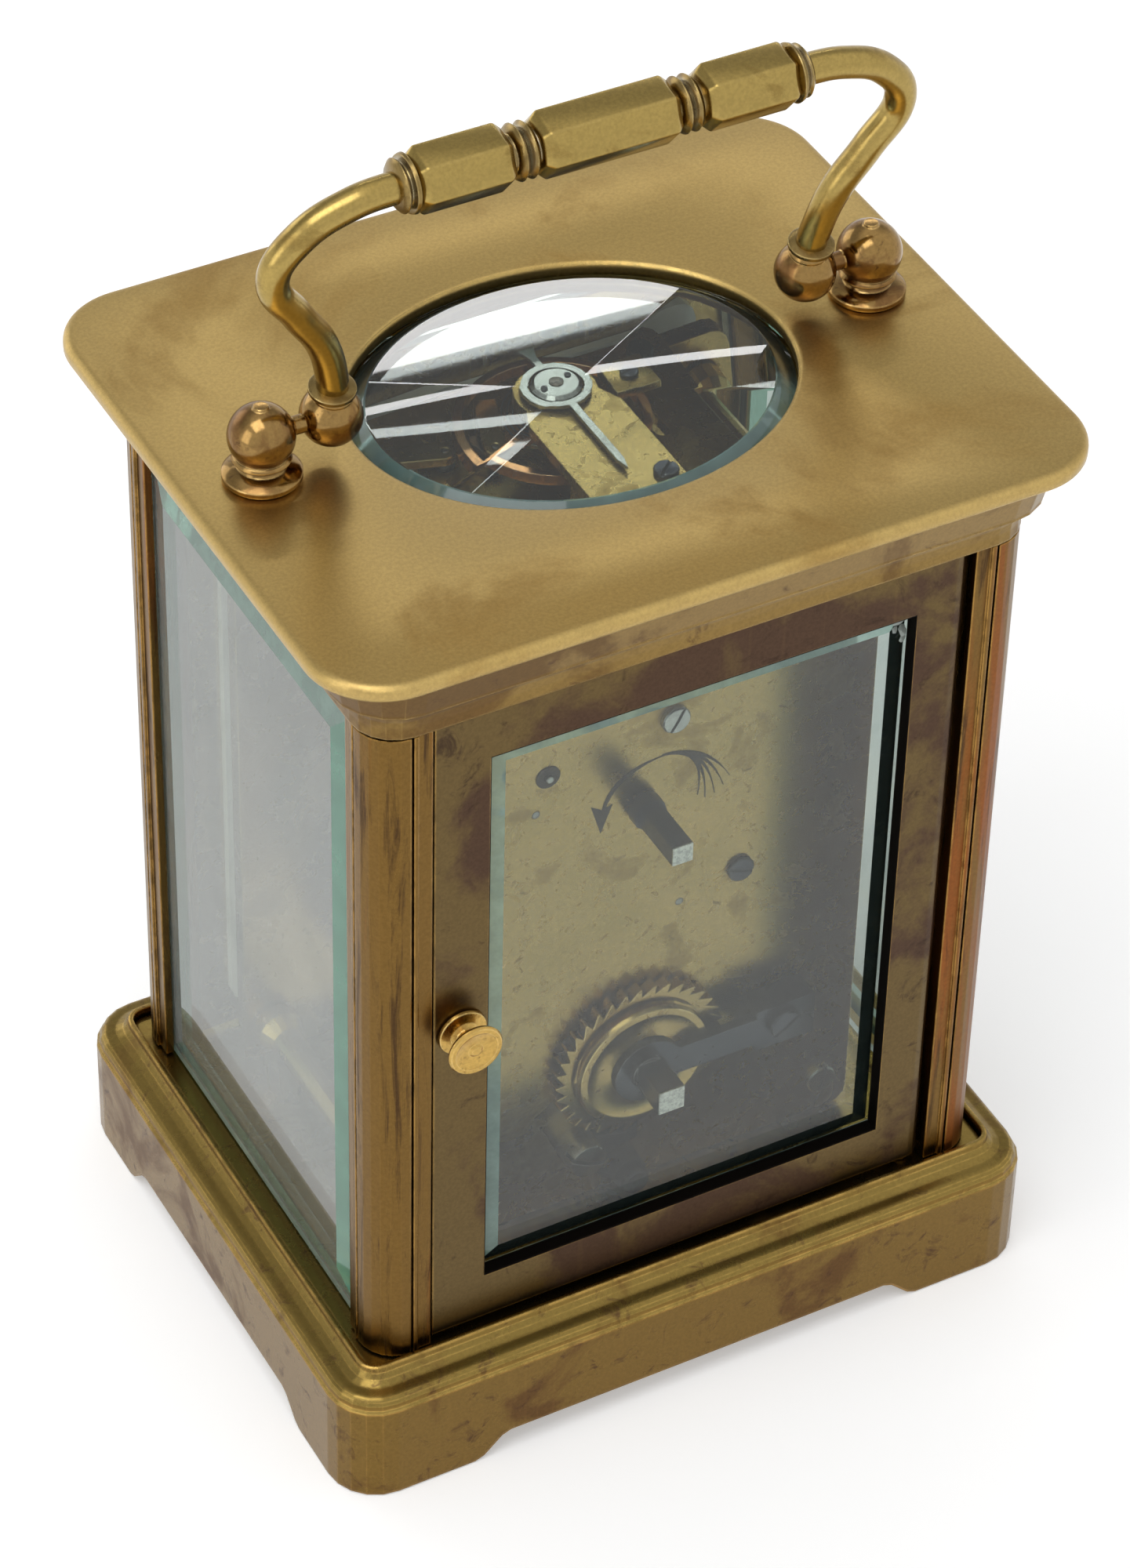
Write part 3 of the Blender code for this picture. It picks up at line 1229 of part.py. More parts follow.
def make_mainspring(place, barrel_inside, open_end, hinge):
    outer = barrel_inside - SEAT_GAP - SPRING_THICKNESS / 2
    count = SPRING_TURNS * SPRING_STEPS
    shares = [i / count for i in range(count + 1)]
    band = []
    for side in (SPRING_THICKNESS / 2, -SPRING_THICKNESS / 2):
        edge = []
        for share in shares:
            radius = SPRING_INNER_RADIUS + (outer - SPRING_INNER_RADIUS) * share + side
            angle = FULL_TURN * SPRING_TURNS * share
            edge.append((radius * math.cos(angle), radius * math.sin(angle)))
        band += edge if side > 0 else edge[::-1]
    low = open_end + SLIP_GAP + BARREL_CAP_THICKNESS + SEAT_GAP
    add("mainspring", outline_mesh("mainspring", [band], low, low + SPRING_HEIGHT), blued_steel(), place, hinge)


def make_centre_wheel(place, radius, leaf_radius, phase, leaf_width):
    """The centre wheel: its arbor carries the minute hand in front and the setting square behind."""
    x, z = place
    hinge = joint_empty("centre axis", (x, 0, z))
    collar = CENTRE_COLLAR_RADIUS
    back = -BACK_PLATE_FACE - SEAT_GAP
    front = -DIAL_FACE + SEAT_GAP + MINUTE_HAND_LIFT + HAND_THICKNESS + SLIP_GAP
    profile = [
        (0, front), (ARBOR_RADIUS, front), (ARBOR_RADIUS, back),
        (collar, back), (collar, back - CENTRE_COLLAR_LENGTH), (ARBOR_RADIUS, back - CENTRE_COLLAR_LENGTH),
        (ARBOR_RADIUS, back - 2 * CENTRE_COLLAR_LENGTH), (0, back - 2 * CENTRE_COLLAR_LENGTH),
    ]
    body = turned("centre_wheel", profile, gilt_brass(), at(x, 0, z, FACE_Y), hinge, SMALL_STEPS)
    loops = wheel_loops(CENTRE_TEETH, radius, 0)
    join(body, "centre rim", outline_mesh("rim", loops, *layer(CENTRE_LAYER, WHEEL_THICKNESS)), at(x, 0, z, FACE_Y))
    leaves = [pinion_outline(CENTRE_PINION_LEAVES, leaf_radius, phase)]
    join(body, "centre leaves", outline_mesh("leaves", leaves, *layer(SECOND_LAYER, leaf_width)), at(x, 0, z, FACE_Y))
    half_diagonal = CENTRE_SQUARE / math.sqrt(2)
    square = rod_mesh("setting square", half_diagonal, -CENTRE_END, back - CENTRE_COLLAR_LENGTH / 2, 4)
    turn = FACE_Y @ Matrix.Rotation(QUARTER_TURN / 2, 4, "Z")
    join(body, "setting square", square, at(x, 0, z, turn))


def make_contrate_wheel(place, leaf_radius, phase, leaf_width, span):
    x, z = place
    hinge = joint_empty("contrate axis", (x, 0, z))
    radius = contrate_radius()
    loops = [circle(0, 0, radius + WHEEL_THICKNESS / 2, CONTRATE_TEETH)]
    loops += spoke_windows(radius - WHEEL_RIM, WHEEL_HUB_RADIUS, 4, SPOKE_WIDTH)
    body = wheel_on_arbor(
        "contrate_wheel", place, (loops, *layer(CONTRATE_LAYER, WHEEL_THICKNESS)),
        ([pinion_outline(CONTRATE_PINION_LEAVES, leaf_radius, phase)], *layer(THIRD_LAYER, leaf_width)),
        gilt_brass(), span, hinge,
    )
    join(body, "crown teeth", crown_mesh(radius), at(x, 0, z, FACE_Y))


def contrate_radius():
    return MOVEMENT_TOP - CONTRATE_Z - ESCAPE_PINION_LENGTH / 2


def crown_pitch():
    return FULL_TURN * contrate_radius() / CONTRATE_TEETH


def escape_leaf_radius():
    return crown_pitch() * ESCAPE_PINION_LEAVES / FULL_TURN


def crown_mesh(radius):
    """A ring whose front edge rises and falls as pointed crown teeth."""
    base = -CONTRATE_LAYER
    reach = -ESCAPE_Y - escape_leaf_radius()
    tip = reach + CROWN_TIP_SHARE * crown_pitch()
    valley = reach - CROWN_VALLEY_SHARE * crown_pitch()
    outer = radius + WHEEL_THICKNESS / 2
    inner = radius - WHEEL_THICKNESS / 2
    count = 2 * CONTRATE_TEETH
    bm = bmesh.new()
    rings = []
    for i in range(count):
        angle = FULL_TURN * i / count
        top = tip if i % 2 else valley
        corners = ((inner, base), (outer, base), (outer, top), (inner, top))
        rings.append([bm.verts.new((r * math.cos(angle), r * math.sin(angle), z)) for r, z in corners])
    for i, ring in enumerate(rings):
        after = rings[(i + 1) % count]
        for j in range(4):
            bm.faces.new((ring[j], after[j], after[(j + 1) % 4], ring[(j + 1) % 4]))
    bmesh.ops.recalc_face_normals(bm, faces=bm.faces)
    return mesh_from(bm, "crown")


def make_winding_work(place):
    x, z = place
    hinge = joint_empty("winding axis", (x, 0, z))
    square_start = BACK_PLATE_FACE + SEAT_GAP + RATCHET_THICKNESS + 2 * COCK_THICKNESS
    hub_back = BARREL_LAYER + BARREL_TOOTH_WIDTH / 2 + SEAT_GAP
    hub_front = BARREL_LAYER + BARREL_DRUM_DEPTH - BARREL_CAP_THICKNESS - 2 * SEAT_GAP
    profile = [
        (0, -FRONT_PLATE_FACE), (WINDING_ARBOR_RADIUS, -FRONT_PLATE_FACE),
        (WINDING_ARBOR_RADIUS, -hub_back), (BARREL_HUB_RADIUS, -hub_back),
        (BARREL_HUB_RADIUS, -hub_front), (WINDING_ARBOR_RADIUS, -hub_front),
        (WINDING_ARBOR_RADIUS, -square_start), (0, -square_start),
    ]
    arbor = turned("winding_arbor", profile, steel(), at(x, 0, z, FACE_Y), hinge, 16)
    half_diagonal = WINDING_SQUARE / math.sqrt(2)
    square = rod_mesh("winding square", half_diagonal, -WINDING_END, -square_start + WINDING_ARBOR_RADIUS, 4)
    join(arbor, "winding square", square, at(x, 0, z, FACE_Y @ Matrix.Rotation(QUARTER_TURN / 2, 4, "Z")))
    make_ratchet_wheel(x, z, hinge)


def ratchet_outline():
    points = []
    step = FULL_TURN / RATCHET_TEETH
    for tooth in range(RATCHET_TEETH):
        angle = tooth * step
        for radius, share in ((RATCHET_RADIUS - RATCHET_TOOTH_DEPTH, 0.0), (RATCHET_RADIUS, 0.85), (RATCHET_RADIUS, 0.98)):
            turn = angle + share * step
            points.append((radius * math.cos(turn), radius * math.sin(turn)))
    return points


def ratchet_back():
    return -(BACK_PLATE_FACE + SEAT_GAP + RATCHET_THICKNESS)


def make_ratchet_wheel(x, z, hinge):
    low = ratchet_back()
    hole = round_hole(0, 0, WINDING_ARBOR_RADIUS + PIVOT_CLEARANCE, 16)
    mesh = outline_mesh("ratchet_wheel", [ratchet_outline(), hole], low, low + RATCHET_THICKNESS)
    ratchet = add("ratchet_wheel", mesh, steel(), at(x, 0, z, FACE_Y), hinge)
    inner = RATCHET_RING_RADIUS - RATCHET_RING_WIDTH / 2
    outer = RATCHET_RING_RADIUS + RATCHET_RING_WIDTH / 2
    profile = [
        (inner, low + RATCHET_THICKNESS / 2), (inner, low), (RATCHET_RING_RADIUS, low - RATCHET_RING_RISE),
        (outer, low), (outer, low + RATCHET_THICKNESS / 2), (inner, low + RATCHET_THICKNESS / 2),
    ]
    ring = turned("ratchet ring", profile[::-1], None, at(x, 0, z, FACE_Y))
    follow(ring, ratchet)
    combine(ratchet, ring)


def make_click_work(place):
    """A click whose beak stands in the ratchet's lowest gap, with its screw and its spring."""
    ratchet_x, ratchet_z = place
    hinge = joint_empty("click axis", (CLICK_X, 0, CLICK_Z))
    low = ratchet_back()
    high = low + CLICK_THICKNESS
    step = FULL_TURN / RATCHET_TEETH
    root = RATCHET_RADIUS - RATCHET_TOOTH_DEPTH
    beak = -QUARTER_TURN

    def from_ratchet(radius, steps_on):
        angle = beak + steps_on * step
        return (
            ratchet_x - CLICK_X + radius * math.cos(angle),
            ratchet_z - CLICK_Z + radius * math.sin(angle),
        )

    nose = [
        from_ratchet(RATCHET_RADIUS + CLICK_NOSE, 0.02),
        from_ratchet(root + SEAT_GAP, 0.04),
        from_ratchet(root + 2 * SEAT_GAP, 0.22),
        from_ratchet(RATCHET_RADIUS + SEAT_GAP, 0.75),
    ]
    boss = arc((0, 0), CLICK_BOSS_RADIUS, QUARTER_TURN, -QUARTER_TURN, 8)
    loops = [nose + boss, round_hole(0, 0, CLICK_SCREW_RADIUS + PIVOT_CLEARANCE)]
    add("click", outline_mesh("click", loops, low, high), steel(), at(CLICK_X, 0, CLICK_Z, FACE_Y), hinge)
    head = low - SEAT_GAP
    profile = [
        (0, -BACK_PLATE_FACE - SEAT_GAP), (CLICK_SCREW_RADIUS, -BACK_PLATE_FACE - SEAT_GAP),
        (CLICK_SCREW_RADIUS, head), (CLICK_SCREW_HEAD, head), (CLICK_SCREW_HEAD, head - CLICK_THICKNESS / 2),
        (CLICK_SCREW_HEAD * 0.8, head - CLICK_THICKNESS), (0, head - CLICK_THICKNESS),
    ]
    turned("click_screw", profile, steel(), at(CLICK_X, 0, CLICK_Z, FACE_Y), None, 16)
    make_click_spring(low, high)


def make_click_spring(low, high):
    middle = (low + high) / 2
    tip = Vector((CLICK_X - CLICK_BOSS_RADIUS * 0.6, CLICK_Z - CLICK_BOSS_RADIUS - CLICK_SPRING_WIRE, middle))
    start = Vector((CLICK_SPRING_X + CLICK_SPRING_BOSS / 2, CLICK_SPRING_Z, middle))
    sag = Vector((0, -CLICK_SPRING_BOSS / 2, 0))
    points = bezier(start, start + sag, tip + sag, tip, 6)
    block = [circle(CLICK_SPRING_X, CLICK_SPRING_Z, CLICK_SPRING_BOSS, 16)]
    spring = add("click_spring", outline_mesh("click_spring", block, low, -BACK_PLATE_FACE - SEAT_GAP), steel(), FACE_Y)
    join(spring, "spring leg", wire_mesh("spring leg", points, CLICK_SPRING_WIRE, 1), FACE_Y)


def make_ratchet_cock(place):
    """A cock over the ratchet wheel, screwed to the back plate beside it."""
    x, z = place
    top = ratchet_back() - RATCHET_RING_RISE - SEAT_GAP
    low = top - COCK_THICKNESS
    half = COCK_ARM_WIDTH / 2
    foot_x = COCK_SCREW_X
    ring = arc((x, z), COCK_RING_RADIUS, HALF_TURN - math.asin(half / COCK_RING_RADIUS),
               -HALF_TURN + math.asin(half / COCK_RING_RADIUS), 20)
    outline = ring + [
        (foot_x + COCK_FOOT_WIDTH / 2, z - half), (foot_x + COCK_FOOT_WIDTH / 2, z - COCK_FOOT_HEIGHT / 2),
        (foot_x - COCK_FOOT_WIDTH / 2, z - COCK_FOOT_HEIGHT / 2), (foot_x - COCK_FOOT_WIDTH / 2, z + COCK_FOOT_HEIGHT / 2),
        (foot_x + COCK_FOOT_WIDTH / 2, z + COCK_FOOT_HEIGHT / 2), (foot_x + COCK_FOOT_WIDTH / 2, z + half),
    ]
    hole = round_hole(x, z, WINDING_ARBOR_RADIUS + 2 * PIVOT_CLEARANCE, 16)
    cock = add("ratchet_cock", outline_mesh("ratchet_cock", [outline, hole], low, top), gilt_brass(), FACE_Y)
    foot_edge = -math.hypot(RATCHET_RADIUS, 0) - SEAT_GAP
    right = min(foot_x + COCK_FOOT_WIDTH / 2, x + foot_edge)
    foot = box_mesh("cock foot", (foot_x - COCK_FOOT_WIDTH / 2, z - COCK_FOOT_HEIGHT / 2, top - COCK_THICKNESS / 2),
                    (right, z + COCK_FOOT_HEIGHT / 2, -BACK_PLATE_FACE - SEAT_GAP))
    join(cock, "cock foot", foot, FACE_Y)


def motion_radii():
    cannon = MOTION_DISTANCE * CANNON_LEAVES / (CANNON_LEAVES + MINUTE_TEETH)
    minute_pinion = MOTION_DISTANCE * MINUTE_PINION_LEAVES / (MINUTE_PINION_LEAVES + HOUR_TEETH)
    return cannon, MOTION_DISTANCE - cannon, minute_pinion, MOTION_DISTANCE - minute_pinion


def make_motion_work(place):
    x, z = place
    cannon, minute, minute_pinion, hour = motion_radii()
    centre_hinge = bpy.data.objects["centre axis"]
    front = -FRONT_PLATE_FACE + SEAT_GAP
    hour_low = front + MOTION_THICKNESS + SEAT_GAP
    turn = FACE_Y
    loops = [pinion_outline(CANNON_LEAVES, cannon), round_hole(0, 0, ARBOR_RADIUS + PIVOT_CLEARANCE)]
    pinion = add("cannon_pinion", outline_mesh("cannon_pinion", loops, front, front + MOTION_THICKNESS),
                 steel(), at(x, 0, z, turn), centre_hinge)
    tube_end = -DIAL_FACE + SEAT_GAP
    tube = outline_mesh("cannon tube", [circle(0, 0, CANNON_RADIUS), round_hole(0, 0, ARBOR_RADIUS + PIVOT_CLEARANCE)],
                        front + MOTION_THICKNESS / 2, tube_end)
    join(pinion, "cannon tube", tube, at(x, 0, z, turn))
    minute_place = (x - MOTION_DISTANCE, z)
    minute_hinge = joint_empty("minute wheel axis", (minute_place[0], 0, minute_place[1]))
    phase = mesh_phase(place, minute_place, 0, CANNON_LEAVES, MINUTE_TEETH)
    loops = [wheel_outline(MINUTE_TEETH, minute, phase), round_hole(0, 0, PIVOT_RADIUS * 2)]
    wheel = add("minute_wheel", outline_mesh("minute_wheel", loops, front, front + MOTION_THICKNESS),
                gilt_brass(), at(*_y(minute_place), turn), minute_hinge)
    leaves = [pinion_outline(MINUTE_PINION_LEAVES, minute_pinion), round_hole(0, 0, PIVOT_RADIUS * 2)]
    pinion_mesh = outline_mesh("minute leaves", leaves, front + MOTION_THICKNESS / 2, hour_low + MOTION_THICKNESS)
    join(wheel, "minute leaves", pinion_mesh, at(*_y(minute_place), turn))
    phase = mesh_phase(minute_place, place, 0, MINUTE_PINION_LEAVES, HOUR_TEETH)
    hour_hinge = joint_empty("hour wheel axis", (x, 0, z))
    bore_radius = CANNON_RADIUS + PIVOT_CLEARANCE
    loops = [wheel_outline(HOUR_TEETH, hour, phase), round_hole(0, 0, bore_radius)]
    hour_wheel = add("hour_wheel", outline_mesh("hour_wheel", loops, hour_low, hour_low + MOTION_THICKNESS),
                     gilt_brass(), at(x, 0, z, turn), hour_hinge)
    pipe_loops = [circle(0, 0, HOUR_PIPE_RADIUS), round_hole(0, 0, bore_radius)]
    pipe = outline_mesh("hour pipe", pipe_loops, hour_low + MOTION_THICKNESS / 2, tube_end)
    join(hour_wheel, "hour pipe", pipe, at(x, 0, z, turn))
    post = [(0, front + MOTION_THICKNESS), (PIVOT_RADIUS * 2 - PIVOT_CLEARANCE, front + MOTION_THICKNESS),
            (PIVOT_RADIUS * 2 - PIVOT_CLEARANCE, -FRONT_PLATE_FACE - MOVEMENT_PLATE_THICKNESS / 2),
            (0, -FRONT_PLATE_FACE - MOVEMENT_PLATE_THICKNESS / 2)]
    stud = turned("minute stud", post, None, at(*_y(minute_place), turn), None, SMALL_STEPS)
    combine(bpy.data.objects["front_plate"], stud)
    make_hands(place, tube_end, centre_hinge, hour_hinge)


def _y(place):
    """A place in X and Z as three coordinates on the Y axis's zero."""
    return place[0], 0, place[1]


def hand_outline(length):
    """A slim pointed hand with a round eye near its tip, as an outline from its boss upwards."""
    shares = ((0.30, 0.50), (0.66, 0.35), (0.72, 0.95), (0.78, 0.95), (0.84, 0.35), (1.0, 0.06))
    right = [(HAND_WIDTH * half, length * up) for up, half in shares]
    boss = arc((0, 0), HAND_BOSS_RADIUS, HALF_TURN * 0.72, FULL_TURN + HALF_TURN * 0.28, 14)
    return boss + right + [(-x, z) for x, z in reversed(right)]


def make_hands(place, tube_end, centre_hinge, hour_hinge):
    x, z = place
    low = tube_end
    for name, length, hole, parent, lift, turn in (
        ("hour_hand", HOUR_HAND_LENGTH, CANNON_RADIUS, hour_hinge, HOUR_HAND_LIFT, FULL_TURN * 10.15 / 12),
        ("minute_hand", MINUTE_HAND_LENGTH, ARBOR_RADIUS, centre_hinge, MINUTE_HAND_LIFT, FULL_TURN * 9 / 60),
    ):
        loops = [hand_outline(length), round_hole(0, 0, hole + PIVOT_CLEARANCE)]
        mesh = outline_mesh(name, loops, low + lift, low + lift + HAND_THICKNESS)
        swing = FACE_Y @ Matrix.Rotation(-turn, 4, "Z")
        add(name, mesh, blued_steel(), at(x, 0, z, swing), parent)


def make_dial():
    height = DIAL_TOP - DIAL_BOTTOM
    middle = (DIAL_TOP + DIAL_BOTTOM) / 2
    outline = [(x, z + middle) for x, z in rounded_rectangle(2 * DIAL_HALF_WIDTH, height, MOVEMENT_CORNER_RADIUS, 3)]
    loops = [outline, circle(0, CENTRE_Z, DIAL_HOLE, 20)]
    dial = add("dial", outline_mesh("dial", loops, -DIAL_FACE - DIAL_THICKNESS, -DIAL_FACE), enamel(), FACE_Y)
    for label, x, z in (
        ("lower left", -DIAL_FOOT_X, DIAL_FOOT_LOW_Z), ("lower right", DIAL_FOOT_X, DIAL_FOOT_LOW_Z),
        ("upper left", -DIAL_FOOT_X, DIAL_FOOT_HIGH_Z), ("upper right", DIAL_FOOT_X, DIAL_FOOT_HIGH_Z),
    ):
        foot = rod_mesh("dial foot", DIAL_FOOT_RADIUS, -FRONT_PLATE_FACE + SEAT_GAP, -DIAL_FACE - DIAL_THICKNESS / 2)
        join(dial, "dial foot " + label, foot, at(x, 0, z, FACE_Y))


def lever_direction():
    line = Vector((CONTRATE_X - BALANCE_X, ESCAPE_Y - BALANCE_Y))
    return line.normalized(), line.length


def lever_place():
    unit, _ = lever_direction()
    return BALANCE_X + unit.x * LEVER_PIVOT_REACH, BALANCE_Y + unit.y * LEVER_PIVOT_REACH


def make_platform():
    depth = BACK_PLATE_FACE - FRONT_PLATE_FACE
    middle = (BACK_PLATE_FACE + FRONT_PLATE_FACE) / 2
    outline = [(x, y + middle) for x, y in rounded_rectangle(2 * PLATFORM_HALF_WIDTH, depth, MOVEMENT_CORNER_RADIUS, 3)]
    mesh = outline_mesh("platform", [outline], PLATFORM_BOTTOM, PLATFORM_TOP)
    platform = add("platform", mesh, gilt_brass())
    pinion_hole = escape_leaf_radius() * 1.6 + SEAT_GAP
    bore(platform, CONTRATE_X, ESCAPE_Y, pinion_hole, PLATFORM_BOTTOM, PLATFORM_TOP)
    bore(platform, BALANCE_X, BALANCE_Y, STAFF_PIVOT_RADIUS + PIVOT_CLEARANCE, PLATFORM_BOTTOM, PLATFORM_TOP)
    bore(platform, *lever_place(), STAFF_PIVOT_RADIUS + PIVOT_CLEARANCE, PLATFORM_BOTTOM, PLATFORM_TOP)
    slot_x = -PLATFORM_HALF_WIDTH * 0.68
    slot_y = FRONT_PLATE_FACE * 0.30
    slot = [(slot_x + x, slot_y + y) for x, y in
            rounded_rectangle(2 * ARBOR_RADIUS, 5 * ARBOR_RADIUS, ARBOR_RADIUS * 0.99, 3)]
    cut(platform, "platform slot", outline_mesh("slot", [slot], PLATFORM_BOTTOM - OVERRUN, PLATFORM_TOP + OVERRUN))


def make_balance():
    hinge = joint_empty("balance axis", (BALANCE_X, BALANCE_Y, 0))
    low = PLATFORM_TOP + BALANCE_RISE
    rim = BALANCE_RADIUS - BALANCE_RIM
    loops = [circle(0, 0, BALANCE_RADIUS, 40)] + spoke_windows(rim, COLLET_RADIUS + SLIP_GAP, 3, BALANCE_ARM, 10)
    mesh = outline_mesh("balance_wheel", loops, low, low + BALANCE_THICKNESS)
    balance = add("balance_wheel", mesh, polished_brass(), at(BALANCE_X, BALANCE_Y, 0), hinge)
    roller = PLATFORM_TOP + ROLLER_RISE
    cock_low = PLATFORM_TOP + COCK_RISE
    top = cock_low + BALANCE_COCK_THICKNESS
    collet = PLATFORM_TOP + HAIRSPRING_RISE
    profile = [
        (0, top), (STAFF_PIVOT_RADIUS, top), (STAFF_PIVOT_RADIUS, cock_low - SEAT_GAP),
        (STAFF_RADIUS, cock_low - SEAT_GAP), (STAFF_RADIUS, collet + STAFF_RADIUS),
        (COLLET_RADIUS, collet + STAFF_RADIUS), (COLLET_RADIUS, low + BALANCE_THICKNESS / 2),
        (STAFF_RADIUS, low + BALANCE_THICKNESS / 2), (STAFF_RADIUS, roller + ROLLER_THICKNESS),
        (ROLLER_RADIUS, roller + ROLLER_THICKNESS), (ROLLER_RADIUS, roller), (STAFF_RADIUS, roller),
        (STAFF_RADIUS, PLATFORM_TOP + SEAT_GAP), (STAFF_PIVOT_RADIUS, PLATFORM_TOP + SEAT_GAP),
        (STAFF_PIVOT_RADIUS, PLATFORM_BOTTOM), (0, PLATFORM_BOTTOM),
    ]
    staff = turned("balance staff", profile, None, at(BALANCE_X, BALANCE_Y, 0), None, SMALL_STEPS)
    follow(staff, balance)
    combine(balance, staff)
    make_hairspring(collet, hinge)


def make_hairspring(height, hinge):
    count = HAIRSPRING_TURNS * HAIRSPRING_STEPS
    inner = COLLET_RADIUS + HAIRSPRING_WIRE + SLIP_GAP
    points = []
    for i in range(count + 1):
        share = i / count
        radius = inner + (HAIRSPRING_OUTER - inner) * share
        angle = FULL_TURN * HAIRSPRING_TURNS * share + QUARTER_TURN
        points.append((radius * math.cos(angle), radius * math.sin(angle), 0))
    least = min((Vector(a) - Vector(b)).length for i, a in enumerate(points) for b in points[i + HAIRSPRING_STEPS - 2:])
    print(f"hairspring least gap {1000 * (least - 2 * HAIRSPRING_WIRE):.2f} mm")
    mesh = wire_mesh("hairspring", points, HAIRSPRING_WIRE, 0)
    add("hairspring", mesh, blued_steel(), at(BALANCE_X, BALANCE_Y, height), hinge)


def make_balance_cock():
    low = PLATFORM_TOP + COCK_RISE
    high = low + BALANCE_COCK_THICKNESS
    half = BALANCE_COCK_WIDTH / 2
    rear = BALANCE_COCK_REACH
    start = math.asin(BALANCE_COCK_BOSS / half * 0.8)
    boss = arc((0, 0), BALANCE_COCK_BOSS, HALF_TURN - start / 2, FULL_TURN + start / 2, 14)
    shoulder = BALANCE_COCK_BOSS
    outline = boss + [(half, shoulder), (half, rear), (-half, rear), (-half, shoulder)]
    loops = [outline, round_hole(0, 0, STAFF_PIVOT_RADIUS + PIVOT_CLEARANCE)]
    place = at(BALANCE_X, BALANCE_Y, 0)
    cock = add("balance_cock", outline_mesh("balance_cock", loops, low, high), gilt_brass(), place)
    foot = box_mesh("balance cock foot", (-half, rear - BALANCE_COCK_FOOT, PLATFORM_TOP + SEAT_GAP),
                    (half, rear, low + BALANCE_COCK_THICKNESS / 2))
    join(cock, "balance cock foot", foot, place)
    stud_y = HAIRSPRING_OUTER + HAIRSPRING_WIRE + STUD_RADIUS + SLIP_GAP
    stud = rod_mesh("hairspring stud", STUD_RADIUS, PLATFORM_TOP + HAIRSPRING_RISE - STUD_RADIUS,
                    low + BALANCE_COCK_THICKNESS / 2)
    join(cock, "hairspring stud", stud, at(BALANCE_X, BALANCE_Y + stud_y, 0))


def make_regulator():
    low = PLATFORM_TOP + COCK_RISE + BALANCE_COCK_THICKNESS + SEAT_GAP
    hinge = joint_empty("regulator axis", (BALANCE_X, BALANCE_Y, 0))
    place = at(BALANCE_X, BALANCE_Y, 0)
    slim, wide = INDEX_POINTER_WIDTH / 2, INDEX_TAIL_WIDTH / 2
    join_pointer = math.asin(slim / INDEX_OUTER)
    join_tail = math.asin(slim / INDEX_OUTER)
    left = arc((0, 0), INDEX_OUTER, QUARTER_TURN + join_pointer, 3 * QUARTER_TURN - join_tail, 10)
    right = arc((0, 0), INDEX_OUTER, -QUARTER_TURN + join_tail, QUARTER_TURN - join_pointer, 10)
    tail = [(-slim, -INDEX_TAIL * 0.75), (-wide, -INDEX_TAIL), (wide, -INDEX_TAIL), (slim, -INDEX_TAIL * 0.75)]
    pointer = [(slim, INDEX_POINTER * 0.9), (0, INDEX_POINTER), (-slim, INDEX_POINTER * 0.9)]
    loops = [left + tail + right + pointer, circle(0, 0, INDEX_INNER, 24)]
    add("regulator_index", outline_mesh("regulator_index", loops, low, low + INDEX_THICKNESS), steel(), place, hinge)
    top = low + CAP_THICKNESS
    profile = [
        (0, top), (CAP_RADIUS - CAP_THICKNESS / 2, top), (CAP_RADIUS, top - CAP_THICKNESS / 2),
        (CAP_RADIUS, low), (0, low),
    ]
    turned("endstone_cap", profile, steel(), place)


def make_escape_wheel():
    hinge = joint_empty("escape axis", (CONTRATE_X, ESCAPE_Y, 0))
    place = at(CONTRATE_X, ESCAPE_Y, 0)
    low = PLATFORM_TOP + ESCAPE_RISE
    step = FULL_TURN / ESCAPE_TEETH
    teeth = []
    for tooth in range(ESCAPE_TEETH):
        for radius, share in ((ESCAPE_RADIUS - ESCAPE_TOOTH_DEPTH, 0.0), (ESCAPE_RADIUS, 0.42), (ESCAPE_RADIUS, 0.55),
                              (ESCAPE_RADIUS - ESCAPE_TOOTH_DEPTH, 0.35)):
            turn = (tooth + share) * step
            teeth.append((radius * math.cos(turn), radius * math.sin(turn)))
    mesh = outline_mesh("escape_wheel", [teeth], low, low + ESCAPE_THICKNESS)
    wheel = add("escape_wheel", mesh, gilt_brass(), place, hinge)
    phase = QUARTER_TURN
    bottom = MOVEMENT_TOP - ESCAPE_PINION_LENGTH
    leaves = [pinion_outline(ESCAPE_PINION_LEAVES, escape_leaf_radius(), phase)]
    join(wheel, "escape leaves", outline_mesh("leaves", leaves, bottom, PLATFORM_TOP), place)
    top = PLATFORM_TOP + BRIDGE_RISE + BRIDGE_THICKNESS
    profile = [
        (0, top), (STAFF_PIVOT_RADIUS, top), (STAFF_PIVOT_RADIUS, top - BRIDGE_THICKNESS - SLIP_GAP),
        (STAFF_RADIUS, top - BRIDGE_THICKNESS - SLIP_GAP), (STAFF_RADIUS, bottom), (0, bottom),
    ]
    arbor = turned("escape arbor", profile, None, place, None, SMALL_STEPS)
    follow(arbor, wheel)
    combine(wheel, arbor)


